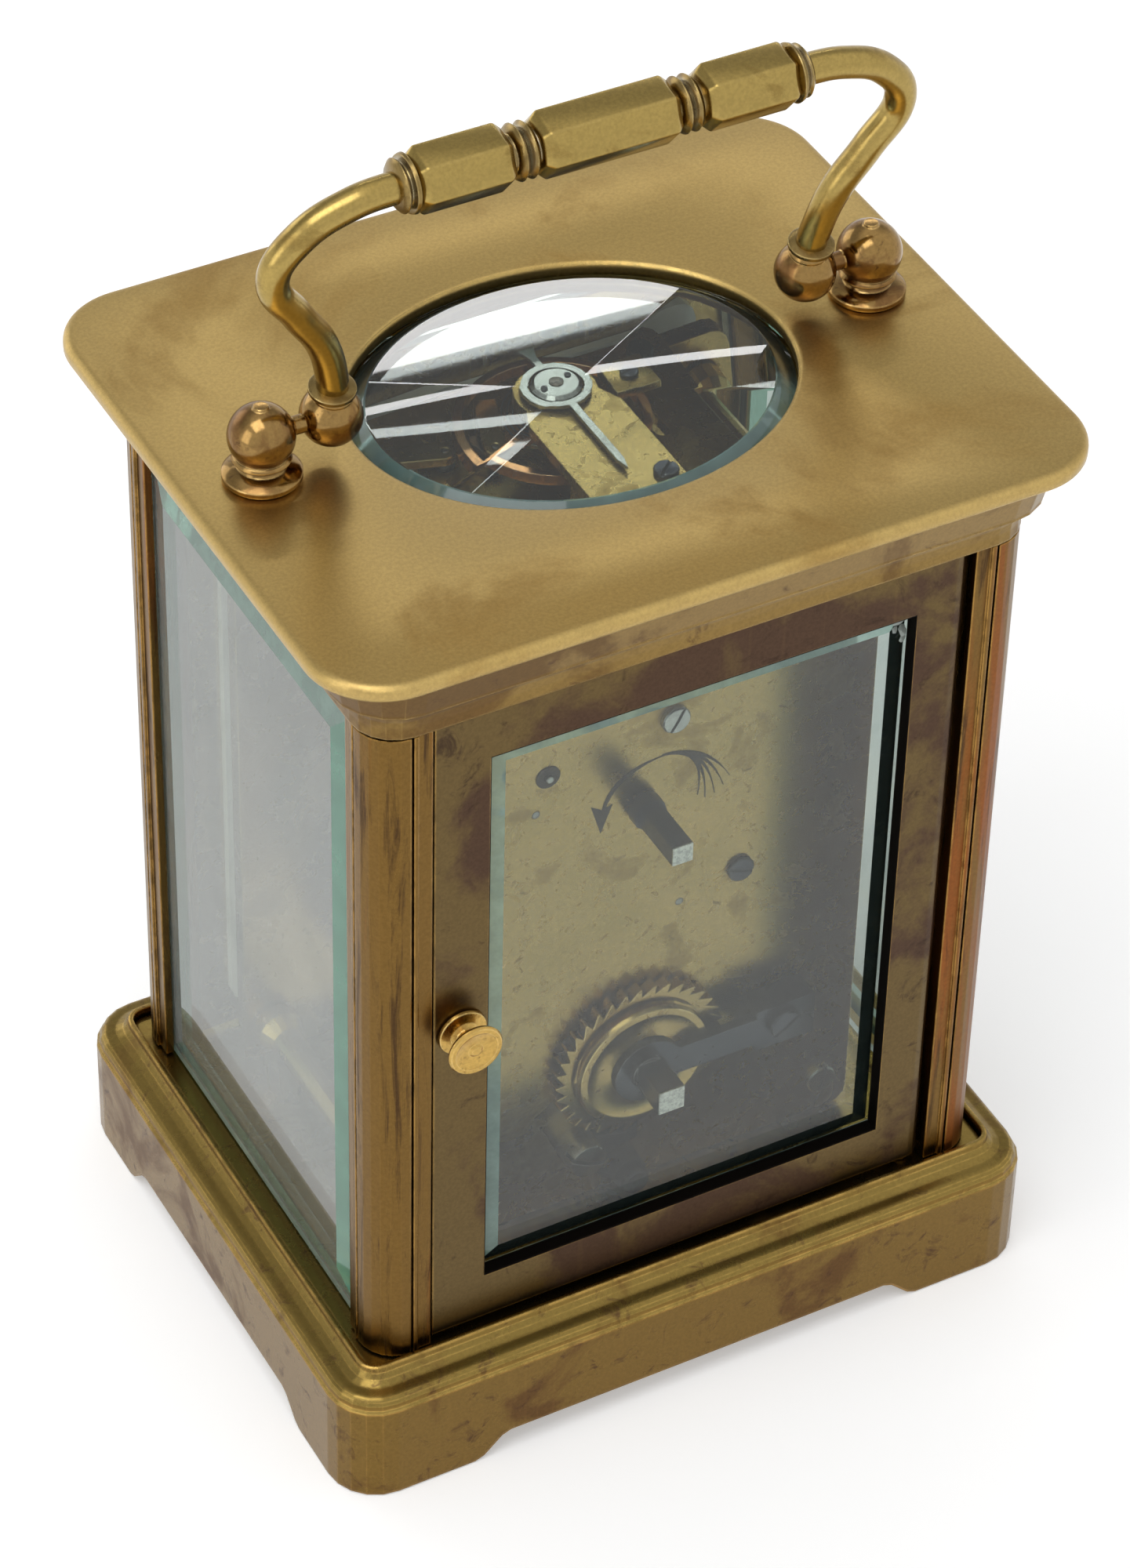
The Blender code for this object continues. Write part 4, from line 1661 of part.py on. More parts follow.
def make_lever():
    """The pallet lever: a forked stem towards the balance and two pallets astride the escape wheel."""
    unit, length = lever_direction()
    x, y = lever_place()
    hinge = joint_empty("lever axis", (x, y, 0))
    low = PLATFORM_TOP + ESCAPE_RISE
    fork = LEVER_PIVOT_REACH - ROLLER_RADIUS - SLIP_GAP
    reach = length - LEVER_PIVOT_REACH
    stem, wide, half = LEVER_STEM_WIDTH / 2, LEVER_FORK_WIDTH / 2, LEVER_ARM_SPAN / 2
    contact = math.sqrt((ESCAPE_RADIUS + PALLET_GAP) ** 2 - (half - PALLET_WIDTH / 2) ** 2)
    side = [
        (-fork, wide * FORK_SHARE),
        (-fork, wide),
        (-fork + wide, stem),
        (-stem, stem),
        (0, half),
        (reach - contact - stem, half),
        (reach - contact - stem, half - PALLET_WIDTH),
        (2 * stem, wide),
    ]
    outline = side + [(px, -py) for px, py in reversed(side)]
    turn = Matrix.Rotation(math.atan2(unit.y, unit.x), 4, "Z")
    place = at(x, y, 0, turn)
    lever = add("pallet_lever", outline_mesh("pallet_lever", [outline], low, low + LEVER_THICKNESS), steel(), place, hinge)
    top = PLATFORM_TOP + BRIDGE_RISE + BRIDGE_THICKNESS
    profile = [
        (0, top), (STAFF_PIVOT_RADIUS, top), (STAFF_PIVOT_RADIUS, low + LEVER_THICKNESS / 2),
        (STAFF_PIVOT_RADIUS, PLATFORM_BOTTOM), (0, PLATFORM_BOTTOM),
    ]
    arbor = turned("lever arbor", profile, None, place, None, SMALL_STEPS)
    follow(arbor, lever)
    combine(lever, arbor)


def make_bridges():
    """Two small bridges over the escape wheel and the lever, each on one foot."""
    unit, length = lever_direction()
    normal = Vector((-unit.y, unit.x))
    low = PLATFORM_TOP + BRIDGE_RISE
    for name, centre, way in (
        ("escape_bridge", Vector((CONTRATE_X, ESCAPE_Y)), unit),
        ("lever_bridge", Vector(lever_place()), -normal),
    ):
        reach = ESCAPE_RADIUS + SEAT_GAP + BRIDGE_FOOT
        half = BRIDGE_WIDTH / 2
        turn = Matrix.Rotation(math.atan2(way.y, way.x), 4, "Z")
        place = at(centre.x, centre.y, 0, turn)
        nose = arc((0, 0), half, QUARTER_TURN, 3 * QUARTER_TURN, 6)
        outline = nose + [(reach, -half), (reach, half)]
        loops = [outline, round_hole(0, 0, STAFF_PIVOT_RADIUS + PIVOT_CLEARANCE)]
        mesh = outline_mesh(name, loops, low, low + BRIDGE_THICKNESS)
        bridge = add(name, mesh, steel(), place)
        foot = box_mesh(name + " foot", (reach - BRIDGE_FOOT, -half, PLATFORM_TOP + SEAT_GAP),
                        (reach, half, low + BRIDGE_THICKNESS / 2))
        join(bridge, name + " foot", foot, place)


def main():
    clear_scene()
    arbors = arbor_places()
    make_base_moulding()
    make_base_plate()
    make_pillars()
    make_cornice()
    make_top_plate()
    make_case_glass()
    make_top_glass()
    make_handle_posts()
    make_handle()
    make_door()
    make_movement_plates(arbors)
    make_movement_pillars()
    make_train(arbors)
    make_winding_work(arbors["barrel"])
    make_click_work(arbors["barrel"])
    make_ratchet_cock(arbors["barrel"])
    make_motion_work(arbors["centre"])
    make_dial()
    make_platform()
    make_balance()
    make_balance_cock()
    make_regulator()
    make_escape_wheel()
    make_lever()
    make_bridges()


main()
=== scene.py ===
import math

import bmesh
import bpy
from mathutils import Matrix, Vector


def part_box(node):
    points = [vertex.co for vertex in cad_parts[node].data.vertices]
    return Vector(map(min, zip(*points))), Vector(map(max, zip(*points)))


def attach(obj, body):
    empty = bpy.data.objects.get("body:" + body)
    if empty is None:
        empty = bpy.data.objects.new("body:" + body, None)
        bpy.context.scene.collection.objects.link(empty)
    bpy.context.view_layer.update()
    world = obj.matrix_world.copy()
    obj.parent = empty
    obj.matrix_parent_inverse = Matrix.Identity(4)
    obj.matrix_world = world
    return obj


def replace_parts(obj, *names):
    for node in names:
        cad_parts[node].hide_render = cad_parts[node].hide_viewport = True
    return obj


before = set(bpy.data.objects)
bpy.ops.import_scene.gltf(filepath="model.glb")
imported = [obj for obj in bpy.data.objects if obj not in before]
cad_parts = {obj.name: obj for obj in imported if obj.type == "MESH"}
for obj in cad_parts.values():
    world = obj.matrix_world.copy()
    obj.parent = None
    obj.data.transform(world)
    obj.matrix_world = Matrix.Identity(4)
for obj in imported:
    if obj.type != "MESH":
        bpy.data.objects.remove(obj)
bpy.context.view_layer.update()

MM = 0.001

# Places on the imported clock, in millimetres, and the lean of its handle
TOP_UNDERSIDE = 108.8
TOP_SURFACE = 110.4
PIVOT_Z = 115.4
GRIP_Z = 143.7
POST_X = 33.6
KNUCKLE_X = 26.2
ARM_RADIUS = 1.6
PLATE_BACK = 16.02
RATCHET_BACK = 18.32
SQUARE_END = 24.6
BARREL_Z = 34
CENTRE_Z = 68.5
DIAL_FRONT = -23.84
BALANCE = (-2.0, -6.7)
SIDES = ((-1, "left"), (1, "right"))
LEAN = math.radians(9.5)
PIVOT = Vector((0, 0, PIVOT_Z * MM))
DIAL_CENTRE = Vector((0, DIAL_FRONT * MM, CENTRE_Z * MM))
HOURS = ("XII", "I", "II", "III", "IIII", "V", "VI", "VII", "VIII", "IX", "X", "XI")

# The door's opening: half its width, its foot and its head, in metres
DOOR_OPENING = (23.62 * MM, 21.9 * MM, 93.2 * MM)

# Camera, in metres
CAMERA_PLACE = (0.2052, 0.3694, 0.4284)
CAMERA_BACK = (0.3658, 0.6570, 0.6592)
CAMERA_SIDE = (-0.8818, 0.4711, 0.0198)


# Colours and small node helpers


def tone(red, green, blue):
    """A swatch colour, 0 to 255, made linear."""
    return (*[((v / 255 + 0.055) / 1.055) ** 2.4 if v > 10 else v / 3294.6 for v in (red, green, blue)], 1.0)


def put(tree, kind, inputs=None, **settings):
    made = tree.nodes.new(kind)
    for key, value in settings.items():
        setattr(made, key, value)
    for key, value in (inputs or {}).items():
        if hasattr(value, "is_output"):
            tree.links.new(value, made.inputs[key])
        else:
            made.inputs[key].default_value = value
    return made


def blend_colours(tree, share, first, second, kind="MIX"):
    made = put(tree, "ShaderNodeMix", {0: share, 6: first, 7: second}, data_type="RGBA", blend_type=kind)
    return made.outputs[2]


def blend_values(tree, share, first, second):
    made = put(tree, "ShaderNodeMix", {0: share, 2: first, 3: second}, data_type="FLOAT")
    return made.outputs[0]


def maths(tree, kind, first, second):
    return put(tree, "ShaderNodeMath", {0: first, 1: second}, operation=kind).outputs[0]

def vector_maths(tree, kind, first, second=(0, 0, 0), result="Vector"):
    made = put(tree, "ShaderNodeVectorMath", {0: first, 1: second}, operation=kind)
    return made.outputs[result]


def step_between(tree, value, low, high, start=0.0, end=1.0):
    made = put(
        tree,
        "ShaderNodeMapRange",
        {"Value": value, "From Min": low, "From Max": high, "To Min": start, "To Max": end},
        interpolation_type="SMOOTHSTEP",
        clamp=True,
    )
    return made.outputs[0]


def noise(tree, place, scale, detail=4.0, rough=0.6, bend=0.0):
    wanted = {"Vector": place, "Scale": scale, "Detail": detail, "Roughness": rough, "Distortion": bend}
    return put(tree, "ShaderNodeTexNoise", wanted).outputs[0]


def object_place(tree):
    return put(tree, "ShaderNodeTexCoord").outputs["Object"]


def new_group(name, inputs, outputs):
    tree = bpy.data.node_groups.new(name, "ShaderNodeTree")
    kinds = {"c": "NodeSocketColor", "f": "NodeSocketFloat", "v": "NodeSocketVector"}
    for label, kind in inputs:
        tree.interface.new_socket(label, in_out="INPUT", socket_type=kinds[kind])
    for label, kind in outputs:
        tree.interface.new_socket(label, in_out="OUTPUT", socket_type=kinds[kind])
    return tree, put(tree, "NodeGroupInput").outputs, put(tree, "NodeGroupOutput").inputs


def make_tarnish_group():
    """Clean metal that goes to tarnish in patches and to a deeper stain in smaller ones."""
    tree, given, out = new_group(
        "Tarnish",
        [("Clean", "c"), ("Tarnish", "c"), ("Deep", "c"), ("Patch Scale", "f"), ("Amount", "f"),
         ("Deep Amount", "f"), ("Streak", "f")],
        [("Color", "c"), ("Mask", "f"), ("Height", "f")],
    )
    squash = put(tree, "ShaderNodeCombineXYZ", {0: 1.0, 1: 1.0, 2: given["Streak"]}).outputs[0]
    place = vector_maths(tree, "MULTIPLY", object_place(tree), squash)
    broad = noise(tree, place, given["Patch Scale"], 6, 0.62, 0.5)
    close = noise(tree, place, maths(tree, "MULTIPLY", given["Patch Scale"], 4.7), 6, 0.7, 0.8)
    start = maths(tree, "SUBTRACT", 0.70, maths(tree, "MULTIPLY", given["Amount"], 0.34))
    stain = step_between(tree, broad, start, maths(tree, "ADD", start, 0.13))
    start = maths(tree, "SUBTRACT", 0.72, maths(tree, "MULTIPLY", given["Deep Amount"], 0.34))
    deep = step_between(tree, close, start, maths(tree, "ADD", start, 0.16))
    grain = noise(tree, object_place(tree), 2600.0, 3, 0.7)
    colour = blend_colours(tree, stain, given["Clean"], given["Tarnish"])
    colour = blend_colours(tree, maths(tree, "MULTIPLY", deep, 0.8), colour, given["Deep"])
    shade = step_between(tree, grain, 0.3, 0.7, 0.90, 1.08)
    shade = put(tree, "ShaderNodeCombineColor", {0: shade, 1: shade, 2: shade}).outputs[0]
    colour = blend_colours(tree, 1.0, colour, shade, "MULTIPLY")
    tree.links.new(colour, out["Color"])
    tree.links.new(maths(tree, "MAXIMUM", stain, deep), out["Mask"])
    tree.links.new(maths(tree, "ADD", grain, maths(tree, "MULTIPLY", close, 1.4)), out["Height"])
    return tree


def make_edge_group():
    """Where an edge is rubbed, broken up by noise, and the softened normal there."""
    tree, given, out = new_group("Worn Edges", [("Width", "f")], [("Mask", "f"), ("Normal", "v")])
    soft = put(tree, "ShaderNodeBevel", {"Radius": given["Width"]}, samples=4).outputs[0]
    true = put(tree, "ShaderNodeNewGeometry").outputs["Normal"]
    turn = vector_maths(tree, "DOT_PRODUCT", soft, true, "Value")
    edge = step_between(tree, turn, 0.995, 0.90)
    patchy = step_between(tree, noise(tree, object_place(tree), 260.0, 4, 0.7), 0.36, 0.60, 0.25, 1.0)
    tree.links.new(maths(tree, "MULTIPLY", edge, patchy), out["Mask"])
    tree.links.new(soft, out["Normal"])
    return tree


def make_grime_and_shade_group():
    """Dirt that stays in grooves and inner corners, and painted shade there: darker where ambient occlusion
    finds a hollow.
    """
    tree, given, out = new_group("Grime and Shade", [("Reach", "f")], [("Mask", "f")])
    depth = put(tree, "ShaderNodeAmbientOcclusion", {"Distance": given["Reach"]}, samples=4, only_local=True)
    tree.links.new(step_between(tree, depth.outputs["AO"], 0.80, 0.30), out["Mask"])
    return tree


def make_scratch_group():
    """Fine crossing scratches, as wiping leaves."""
    tree, given, out = new_group("Scratches", [("Scale", "f")], [("Mask", "f")])
    marks = []
    for turn in ((0.2, 0.5, 0.4), (1.3, -0.6, 1.9), (-0.5, 1.1, 2.7)):
        wanted = {"Vector": object_place(tree), "Rotation": turn, "Scale": (1, 1, 0.03)}
        moved = put(tree, "ShaderNodeMapping", wanted)
        found = noise(tree, moved.outputs[0], given["Scale"], 2, 0.5)
        marks.append(step_between(tree, found, 0.66, 0.74))
    two = maths(tree, "MAXIMUM", marks[0], marks[1])
    tree.links.new(maths(tree, "MAXIMUM", two, marks[2]), out["Mask"])
    return tree


TARNISH = make_tarnish_group()
EDGES = make_edge_group()
GRIME_AND_SHADE = make_grime_and_shade_group()
SCRATCHES = make_scratch_group()


def start_material(name):
    made = bpy.data.materials.new(name)
    made.use_nodes = True
    return made, made.node_tree, made.node_tree.nodes["Principled BSDF"]


def group(tree, which, inputs):
    made = put(tree, "ShaderNodeGroup", node_tree=which)
    for key, value in inputs.items():
        if hasattr(value, "is_output"):
            tree.links.new(value, made.inputs[key])
        else:
            made.inputs[key].default_value = value
    return made.outputs


def paint_side_shade(tree, colour, tint):
    """Painted shade: another, darker tone on the upright faces than on the top."""
    normal = put(tree, "ShaderNodeTexCoord").outputs["Normal"]
    up = put(tree, "ShaderNodeSeparateXYZ", {0: normal}).outputs["Z"]
    side = step_between(tree, up, 0.45, 0.05)
    return blend_colours(tree, side, colour, blend_colours(tree, 1.0, colour, tint, "MULTIPLY"))

def recess_mask(tree, half_width, low, high):
    """The inner walls of the door's opening, where dark patina and painted shade go."""
    parts = put(tree, "ShaderNodeSeparateXYZ", {0: object_place(tree)}).outputs
    within = maths(tree, "LESS_THAN", maths(tree, "ABSOLUTE", parts["X"], 0.0), half_width)
    within = maths(tree, "MULTIPLY", within, maths(tree, "GREATER_THAN", parts["Z"], low))
    return maths(tree, "MULTIPLY", within, maths(tree, "LESS_THAN", parts["Z"], high))

def arbor_mask(tree, centre, axis, radius):
    """What lies near the arbor's axis."""
    flat = [0.0 if i == axis else 1.0 for i in range(3)]
    offset = vector_maths(tree, "SUBTRACT", object_place(tree), centre)
    offset = vector_maths(tree, "MULTIPLY", offset, flat)
    away = vector_maths(tree, "LENGTH", offset, result="Value")
    return step_between(tree, away, radius + 0.05 * MM, radius)

def tip_mask(tree, end):
    """The rubbed end of a square that points to +Y."""
    along = put(tree, "ShaderNodeSeparateXYZ", {0: object_place(tree)}).outputs["Y"]
    tip = step_between(tree, along, end - 0.25 * MM, end - 0.05 * MM)
    flecks = step_between(tree, noise(tree, object_place(tree), 1800.0, 3, 0.8), 0.35, 0.6)
    return maths(tree, "MULTIPLY", tip, maths(tree, "ADD", maths(tree, "MULTIPLY", flecks, 0.5), 0.5))

def metal(name, clean, tarnish, deep, worn, dirt_and_shade, patch=45.0, amount=0.5, deep_amount=0.4, streak=1.0,
          edge=0.35 * MM, reach=1.2 * MM, polish=0.3, bump=0.004, scratched=0.02, arbor=None, bright_end=None,
          painted_side_shade=None, recess=None):
    """Tarnished metal: its tones, how its patches lie, its rubbed edges and any part of another tone."""
    made, tree, shader = start_material(name)
    shader.inputs["Metallic"].default_value = 1.0
    stain = group(tree, TARNISH, {"Clean": clean, "Tarnish": tarnish, "Deep": deep, "Patch Scale": patch,
                                  "Amount": amount, "Deep Amount": deep_amount, "Streak": streak})
    rubbed = group(tree, EDGES, {"Width": edge})
    grime_and_shade = group(tree, GRIME_AND_SHADE, {"Reach": reach})
    scratch = group(tree, SCRATCHES, {"Scale": 900.0})
    colour = blend_colours(tree, maths(tree, "MULTIPLY", scratch["Mask"], scratched), stain["Color"], worn)
    # Partly real dirt and partly painted shade: occluded grooves and inner corners are painted the given dirt
    # tone.
    colour = blend_colours(tree, maths(tree, "MULTIPLY", grime_and_shade["Mask"], 0.85), colour, dirt_and_shade)
    colour = blend_colours(tree, maths(tree, "MULTIPLY", rubbed["Mask"], 0.85), colour, worn)
    rough = blend_values(tree, stain["Mask"], polish, polish + 0.13)
    rough = blend_values(tree, rubbed["Mask"], rough, max(0.12, polish - 0.08))
    # Painted shade: the upright faces are painted darker than the top.
    if painted_side_shade:
        colour = paint_side_shade(tree, colour, painted_side_shade)
    # Partly real dark patina and partly painted shade: the inner walls of the door's opening are painted near
    # black.
    if recess:
        within = recess_mask(tree, *recess)
        colour = blend_colours(tree, within, colour, PATINA_AND_SHADE_BLACK)
        rough = blend_values(tree, within, rough, 0.6)
    if arbor:
        centre, axis, radius, steel = arbor
        inner = arbor_mask(tree, centre, axis, radius)
        colour = blend_colours(tree, inner, colour, steel)
        rough = blend_values(tree, inner, rough, 0.22)
    if bright_end:
        tip = tip_mask(tree, bright_end)
        colour = blend_colours(tree, tip, colour, RUBBED_STEEL)
        rough = blend_values(tree, tip, rough, 0.5)
    wanted = {"Height": stain["Height"], "Normal": rubbed["Normal"], "Strength": 0.35, "Distance": bump * MM}
    relief = put(tree, "ShaderNodeBump", wanted)
    tree.links.new(colour, shader.inputs["Base Color"])
    tree.links.new(rough, shader.inputs["Roughness"])
    tree.links.new(relief.outputs[0], shader.inputs["Normal"])
    return made


def let_lamps_through(tree, shader):
    """The second shader lets the lamps reach what is behind the glass."""
    clear = put(tree, "ShaderNodeBsdfTransparent", {"Color": (0.9, 0.95, 0.93, 1)})
    lamp_ray = put(tree, "ShaderNodeLightPath").outputs["Is Shadow Ray"]
    both = put(tree, "ShaderNodeMixShader", {0: lamp_ray, 1: shader.outputs[0], 2: clear.outputs[0]})
    tree.links.new(both.outputs[0], tree.nodes["Material Output"].inputs["Surface"])


def clear_glass(name, flat, smeared, transmission):
    made, tree, shader = start_material(name)
    film = step_between(tree, noise(tree, object_place(tree), 60.0, 5, 0.65, 0.6), 0.4, 0.7)
    tree.links.new(blend_colours(tree, film, flat, smeared), shader.inputs["Base Color"])
    shader.inputs["Roughness"].default_value = 0.012
    shader.inputs["IOR"].default_value = 1.5
    shader.inputs["Transmission Weight"].default_value = transmission
    let_lamps_through(tree, shader)
    return made


def ground_glass(name, lit_way, lit, dim, transmission):
    """The ground bevel of a pane, with painted light and shade: pale green where it leans to the light, dark
    where it leans away.
    """
    made, tree, shader = start_material(name)
    normal = put(tree, "ShaderNodeTexCoord").outputs["Normal"]
    lean_way = vector_maths(tree, "DOT_PRODUCT", normal, lit_way, "Value")
    towards = step_between(tree, lean_way, -0.08, 0.08)
    ripple = step_between(tree, noise(tree, object_place(tree), 260.0, 4, 0.7), 0.3, 0.7, 0.75, 1.0)
    shade = put(tree, "ShaderNodeCombineColor", {0: ripple, 1: ripple, 2: ripple}).outputs[0]
    colour = blend_colours(tree, 1.0, blend_colours(tree, towards, dim, lit), shade, "MULTIPLY")
    tree.links.new(colour, shader.inputs["Base Color"])
    shader.inputs["Roughness"].default_value = 0.06
    shader.inputs["IOR"].default_value = 1.5
    shader.inputs["Transmission Weight"].default_value = transmission
    let_lamps_through(tree, shader)
    return made


def enamel(name, white, crazed):
    made, tree, shader = start_material(name)
    cloudy = step_between(tree, noise(tree, object_place(tree), 90.0, 5, 0.6), 0.35, 0.75)
    tree.links.new(blend_colours(tree, cloudy, white, crazed), shader.inputs["Base Color"])
    wave = step_between(tree, noise(tree, object_place(tree), 300.0, 3, 0.5), 0.3, 0.7, 0.10, 0.2)
    tree.links.new(wave, shader.inputs["Roughness"])
    return made


def paint(name, colour, pale, rough):
    made, tree, shader = start_material(name)
    uneven = noise(tree, object_place(tree), 1500.0, 4, 0.7)
    mottled = blend_colours(tree, step_between(tree, uneven, 0.3, 0.8), colour, pale)
    tree.links.new(mottled, shader.inputs["Base Color"])
    tree.links.new(step_between(tree, uneven, 0.2, 0.8, rough, rough + 0.2), shader.inputs["Roughness"])
    return made


BLUED = tone(66, 68, 76)
STEEL = tone(150, 150, 148)
DIRT_AND_SHADE = tone(50, 39, 28)
# Painted light and shade for the door glass's ground bevel: the lit tone and the shaded tone.
LIT_BEVEL_GREEN = tone(176, 214, 202)
SHADED_BEVEL_GREEN = tone(40, 52, 50)
# Near black for the door opening's inner walls, partly patina and partly painted shade.
PATINA_AND_SHADE_BLACK = tone(26, 22, 19)
RUBBED_STEEL = tone(236, 234, 228)
WHEEL_TONES = (
    tone(206, 176, 108), tone(180, 148, 84), tone(132, 102, 58), tone(240, 214, 150), tone(80, 62, 38),
)
WHEEL_WEAR = {"patch": 120.0, "amount": 0.4, "deep_amount": 0.3, "edge": 0.15 * MM, "polish": 0.26}

FINISHES = {
    "satin_top_brass": metal(
        "satin top brass", tone(186, 158, 98), tone(170, 140, 82), tone(140, 106, 66), tone(250, 216, 134),
        tone(90, 68, 42), patch=30.0, amount=0.5, deep_amount=0.2, edge=0.8 * MM, polish=0.32,
        scratched=0.04),
    "cornice_brass": metal(
        "cornice brass", tone(138, 112, 64), tone(112, 86, 50), tone(84, 60, 42), tone(214, 178, 104), DIRT_AND_SHADE,
        patch=60.0, amount=0.6, deep_amount=0.45, edge=0.35 * MM, polish=0.28),
    "pillar_brass": metal(
        "pillar brass", tone(118, 90, 46), tone(138, 82, 38), tone(66, 47, 32), tone(196, 152, 82), DIRT_AND_SHADE,
        patch=120.0, amount=0.55, deep_amount=0.6, streak=0.07, edge=0.3 * MM, polish=0.27),
    "door_brass": metal(
        "door brass", tone(104, 86, 54), tone(82, 62, 48), tone(62, 46, 36), tone(190, 154, 88), DIRT_AND_SHADE,
        patch=55.0, amount=0.7, deep_amount=0.5, edge=0.35 * MM, polish=0.28,
        recess=DOOR_OPENING),
    "base_brass": metal(
        "base brass", tone(136, 114, 60), tone(112, 86, 48), tone(84, 60, 44), tone(232, 192, 108), DIRT_AND_SHADE,
        patch=70.0, amount=0.55, deep_amount=0.5, edge=0.5 * MM, polish=0.27,
        painted_side_shade=(0.80, 0.70, 0.66, 1)),
    "handle_brass": metal(
        "handle brass", tone(170, 146, 84), tone(150, 126, 70), tone(112, 92, 54), tone(244, 216, 146),
        tone(70, 58, 38), patch=170.0, amount=0.45, deep_amount=0.25, edge=0.3 * MM, polish=0.2),
    "ring_brass": metal(
        "ring brass", tone(140, 118, 72), tone(122, 100, 60), tone(86, 70, 44), tone(214, 190, 130),
        tone(186, 180, 162), patch=200.0, amount=0.5, deep_amount=0.4, edge=0.2 * MM, reach=1.6 * MM,
        polish=0.25),
    "ball_brass": metal(
        "ball brass", tone(150, 120, 72), tone(122, 90, 54), tone(86, 62, 42), tone(226, 190, 124),
        tone(52, 40, 30), patch=150.0, amount=0.6, deep_amount=0.5, edge=0.25 * MM, reach=1.8 * MM,
        polish=0.13),
    # The knob's longer reach paints shade, as well as dirt, into its concave face.
    "knob_brass": metal(
        "knob brass", tone(196, 160, 88), tone(164, 128, 66), tone(104, 76, 44), tone(250, 222, 150), DIRT_AND_SHADE,
        patch=260.0, amount=0.5, deep_amount=0.45, edge=0.22 * MM, reach=1.6 * MM, polish=0.2),
    "gilt_plate": metal(
        "gilt plate", tone(178, 151, 92), tone(160, 132, 74), tone(120, 98, 58), tone(224, 200, 142),
        tone(70, 58, 38), patch=150.0, amount=0.5, deep_amount=0.5, edge=0.2 * MM, polish=0.25, bump=0.004,
        scratched=0.05),
    "wheel_brass": metal("wheel brass", *WHEEL_TONES, **WHEEL_WEAR),
    "copper_rim": metal(
        "copper rim", tone(214, 158, 110), tone(186, 132, 88), tone(134, 90, 62), tone(246, 204, 160),
        tone(74, 52, 38), patch=260.0, amount=0.4, deep_amount=0.3, edge=0.15 * MM, polish=0.18),
    "grey_steel": metal(
        "grey steel", tone(176, 176, 172), tone(150, 150, 148), tone(98, 96, 94), tone(226, 226, 222),
        tone(50, 48, 46), patch=180.0, amount=0.4, deep_amount=0.3, edge=0.12 * MM, polish=0.22),
    "blued_steel": metal(
        "blued steel", BLUED, tone(56, 54, 58), tone(70, 56, 46), tone(160, 158, 156), tone(26, 26, 30),
        patch=180.0, amount=0.4, deep_amount=0.35, edge=0.15 * MM, polish=0.22),
    "bright_square": metal(
        "worn steel square", tone(88, 88, 90), tone(70, 68, 70), tone(60, 52, 46), tone(190, 188, 184),
        tone(30, 30, 32), patch=180.0, amount=0.4, deep_amount=0.35, edge=0.15 * MM, polish=0.25,
        bright_end=SQUARE_END * MM),
    "ratchet_brass": metal(
        "ratchet brass", tone(180, 152, 96), tone(146, 120, 74), tone(96, 76, 50), tone(240, 216, 158),
        tone(44, 36, 28), patch=160.0, amount=0.45, deep_amount=0.45, edge=0.25 * MM, polish=0.22),
    "clear_glass": clear_glass("clear glass", tone(240, 248, 244), tone(228, 238, 234), 1.0),
    "hazy_glass": clear_glass("hazy side glass", tone(232, 240, 236), tone(214, 224, 220), 0.93),
    # Painted light and shade on the ground bevels: the first tone where a bevel leans the given way, the
    # second where it leans away.
    "door_ground": ground_glass("ground door glass", (0.7, 0, 0.7), LIT_BEVEL_GREEN, SHADED_BEVEL_GREEN, 0.6),
    "side_ground": ground_glass(
        "ground side glass", (0, 1, 0), tone(140, 206, 176), tone(196, 206, 202), 0.6),
    "oval_ground": ground_glass(
        "ground oval glass", (0.5, 0.86, 0), tone(160, 200, 196), tone(70, 80, 78), 0.7),
    "chipped_glass": ground_glass("chipped glass", (0, 1, 0), tone(232, 240, 232), tone(120, 140, 128), 0.5),
    "white_enamel": enamel("white enamel", tone(240, 238, 228), tone(226, 222, 206)),
    "black_paint": paint("black paint", tone(24, 24, 26), tone(52, 50, 50), 0.4),
    "engraved_dark": paint("engraved dark", tone(40, 34, 26), tone(84, 70, 46), 0.5),
    "smoky_jewel": paint("smoky jewel", tone(84, 74, 68), tone(150, 140, 126), 0.1),
}


def arbor_finish(name, x, other, axis, radius, base="wheel"):
    """Wheel brass with a steel arbor, or with a blued one whose square has a bright end."""
    centre = (x * MM, 0, other * MM) if axis == 1 else (x * MM, other * MM, 0)
    blued = base != "wheel"
    arbor = (centre, axis, radius * MM, BLUED if blued else STEEL)
    end = SQUARE_END * MM if blued else None
    return metal(name, *WHEEL_TONES, **WHEEL_WEAR, arbor=arbor, bright_end=end)

NODE_FINISH = {
    "cornice": "cornice_brass", "base_moulding": "base_brass", "base_plate": "base_brass",
    "door_frame": "door_brass", "top_glass_retainer": "cornice_brass", "front_plate": "gilt_plate",
    "back_plate": "gilt_plate", "platform": "gilt_plate", "balance_cock": "gilt_plate",
    "escape_bridge": "gilt_plate", "lever_bridge": "gilt_plate", "barrel": "wheel_brass",
    "barrel_cap": "wheel_brass", "ratchet_wheel": "ratchet_brass", "click": "blued_steel",
    "click_spring": "blued_steel", "ratchet_cock": "blued_steel", "winding_arbor": "bright_square",
    "balance_wheel": "copper_rim", "regulator_index": "grey_steel", "endstone_cap": "grey_steel",
    "pallet_lever": "grey_steel", "cannon_pinion": "grey_steel", "dial": "white_enamel",
    "hour_hand": "blued_steel", "minute_hand": "blued_steel",
}
for corner in ("front_left", "front_right", "rear_left", "rear_right"):
    NODE_FINISH["pillar_" + corner] = "pillar_brass"
for corner in ("lower_left", "lower_right", "upper_left", "upper_right"):
    NODE_FINISH["movement_pillar_" + corner] = "wheel_brass"
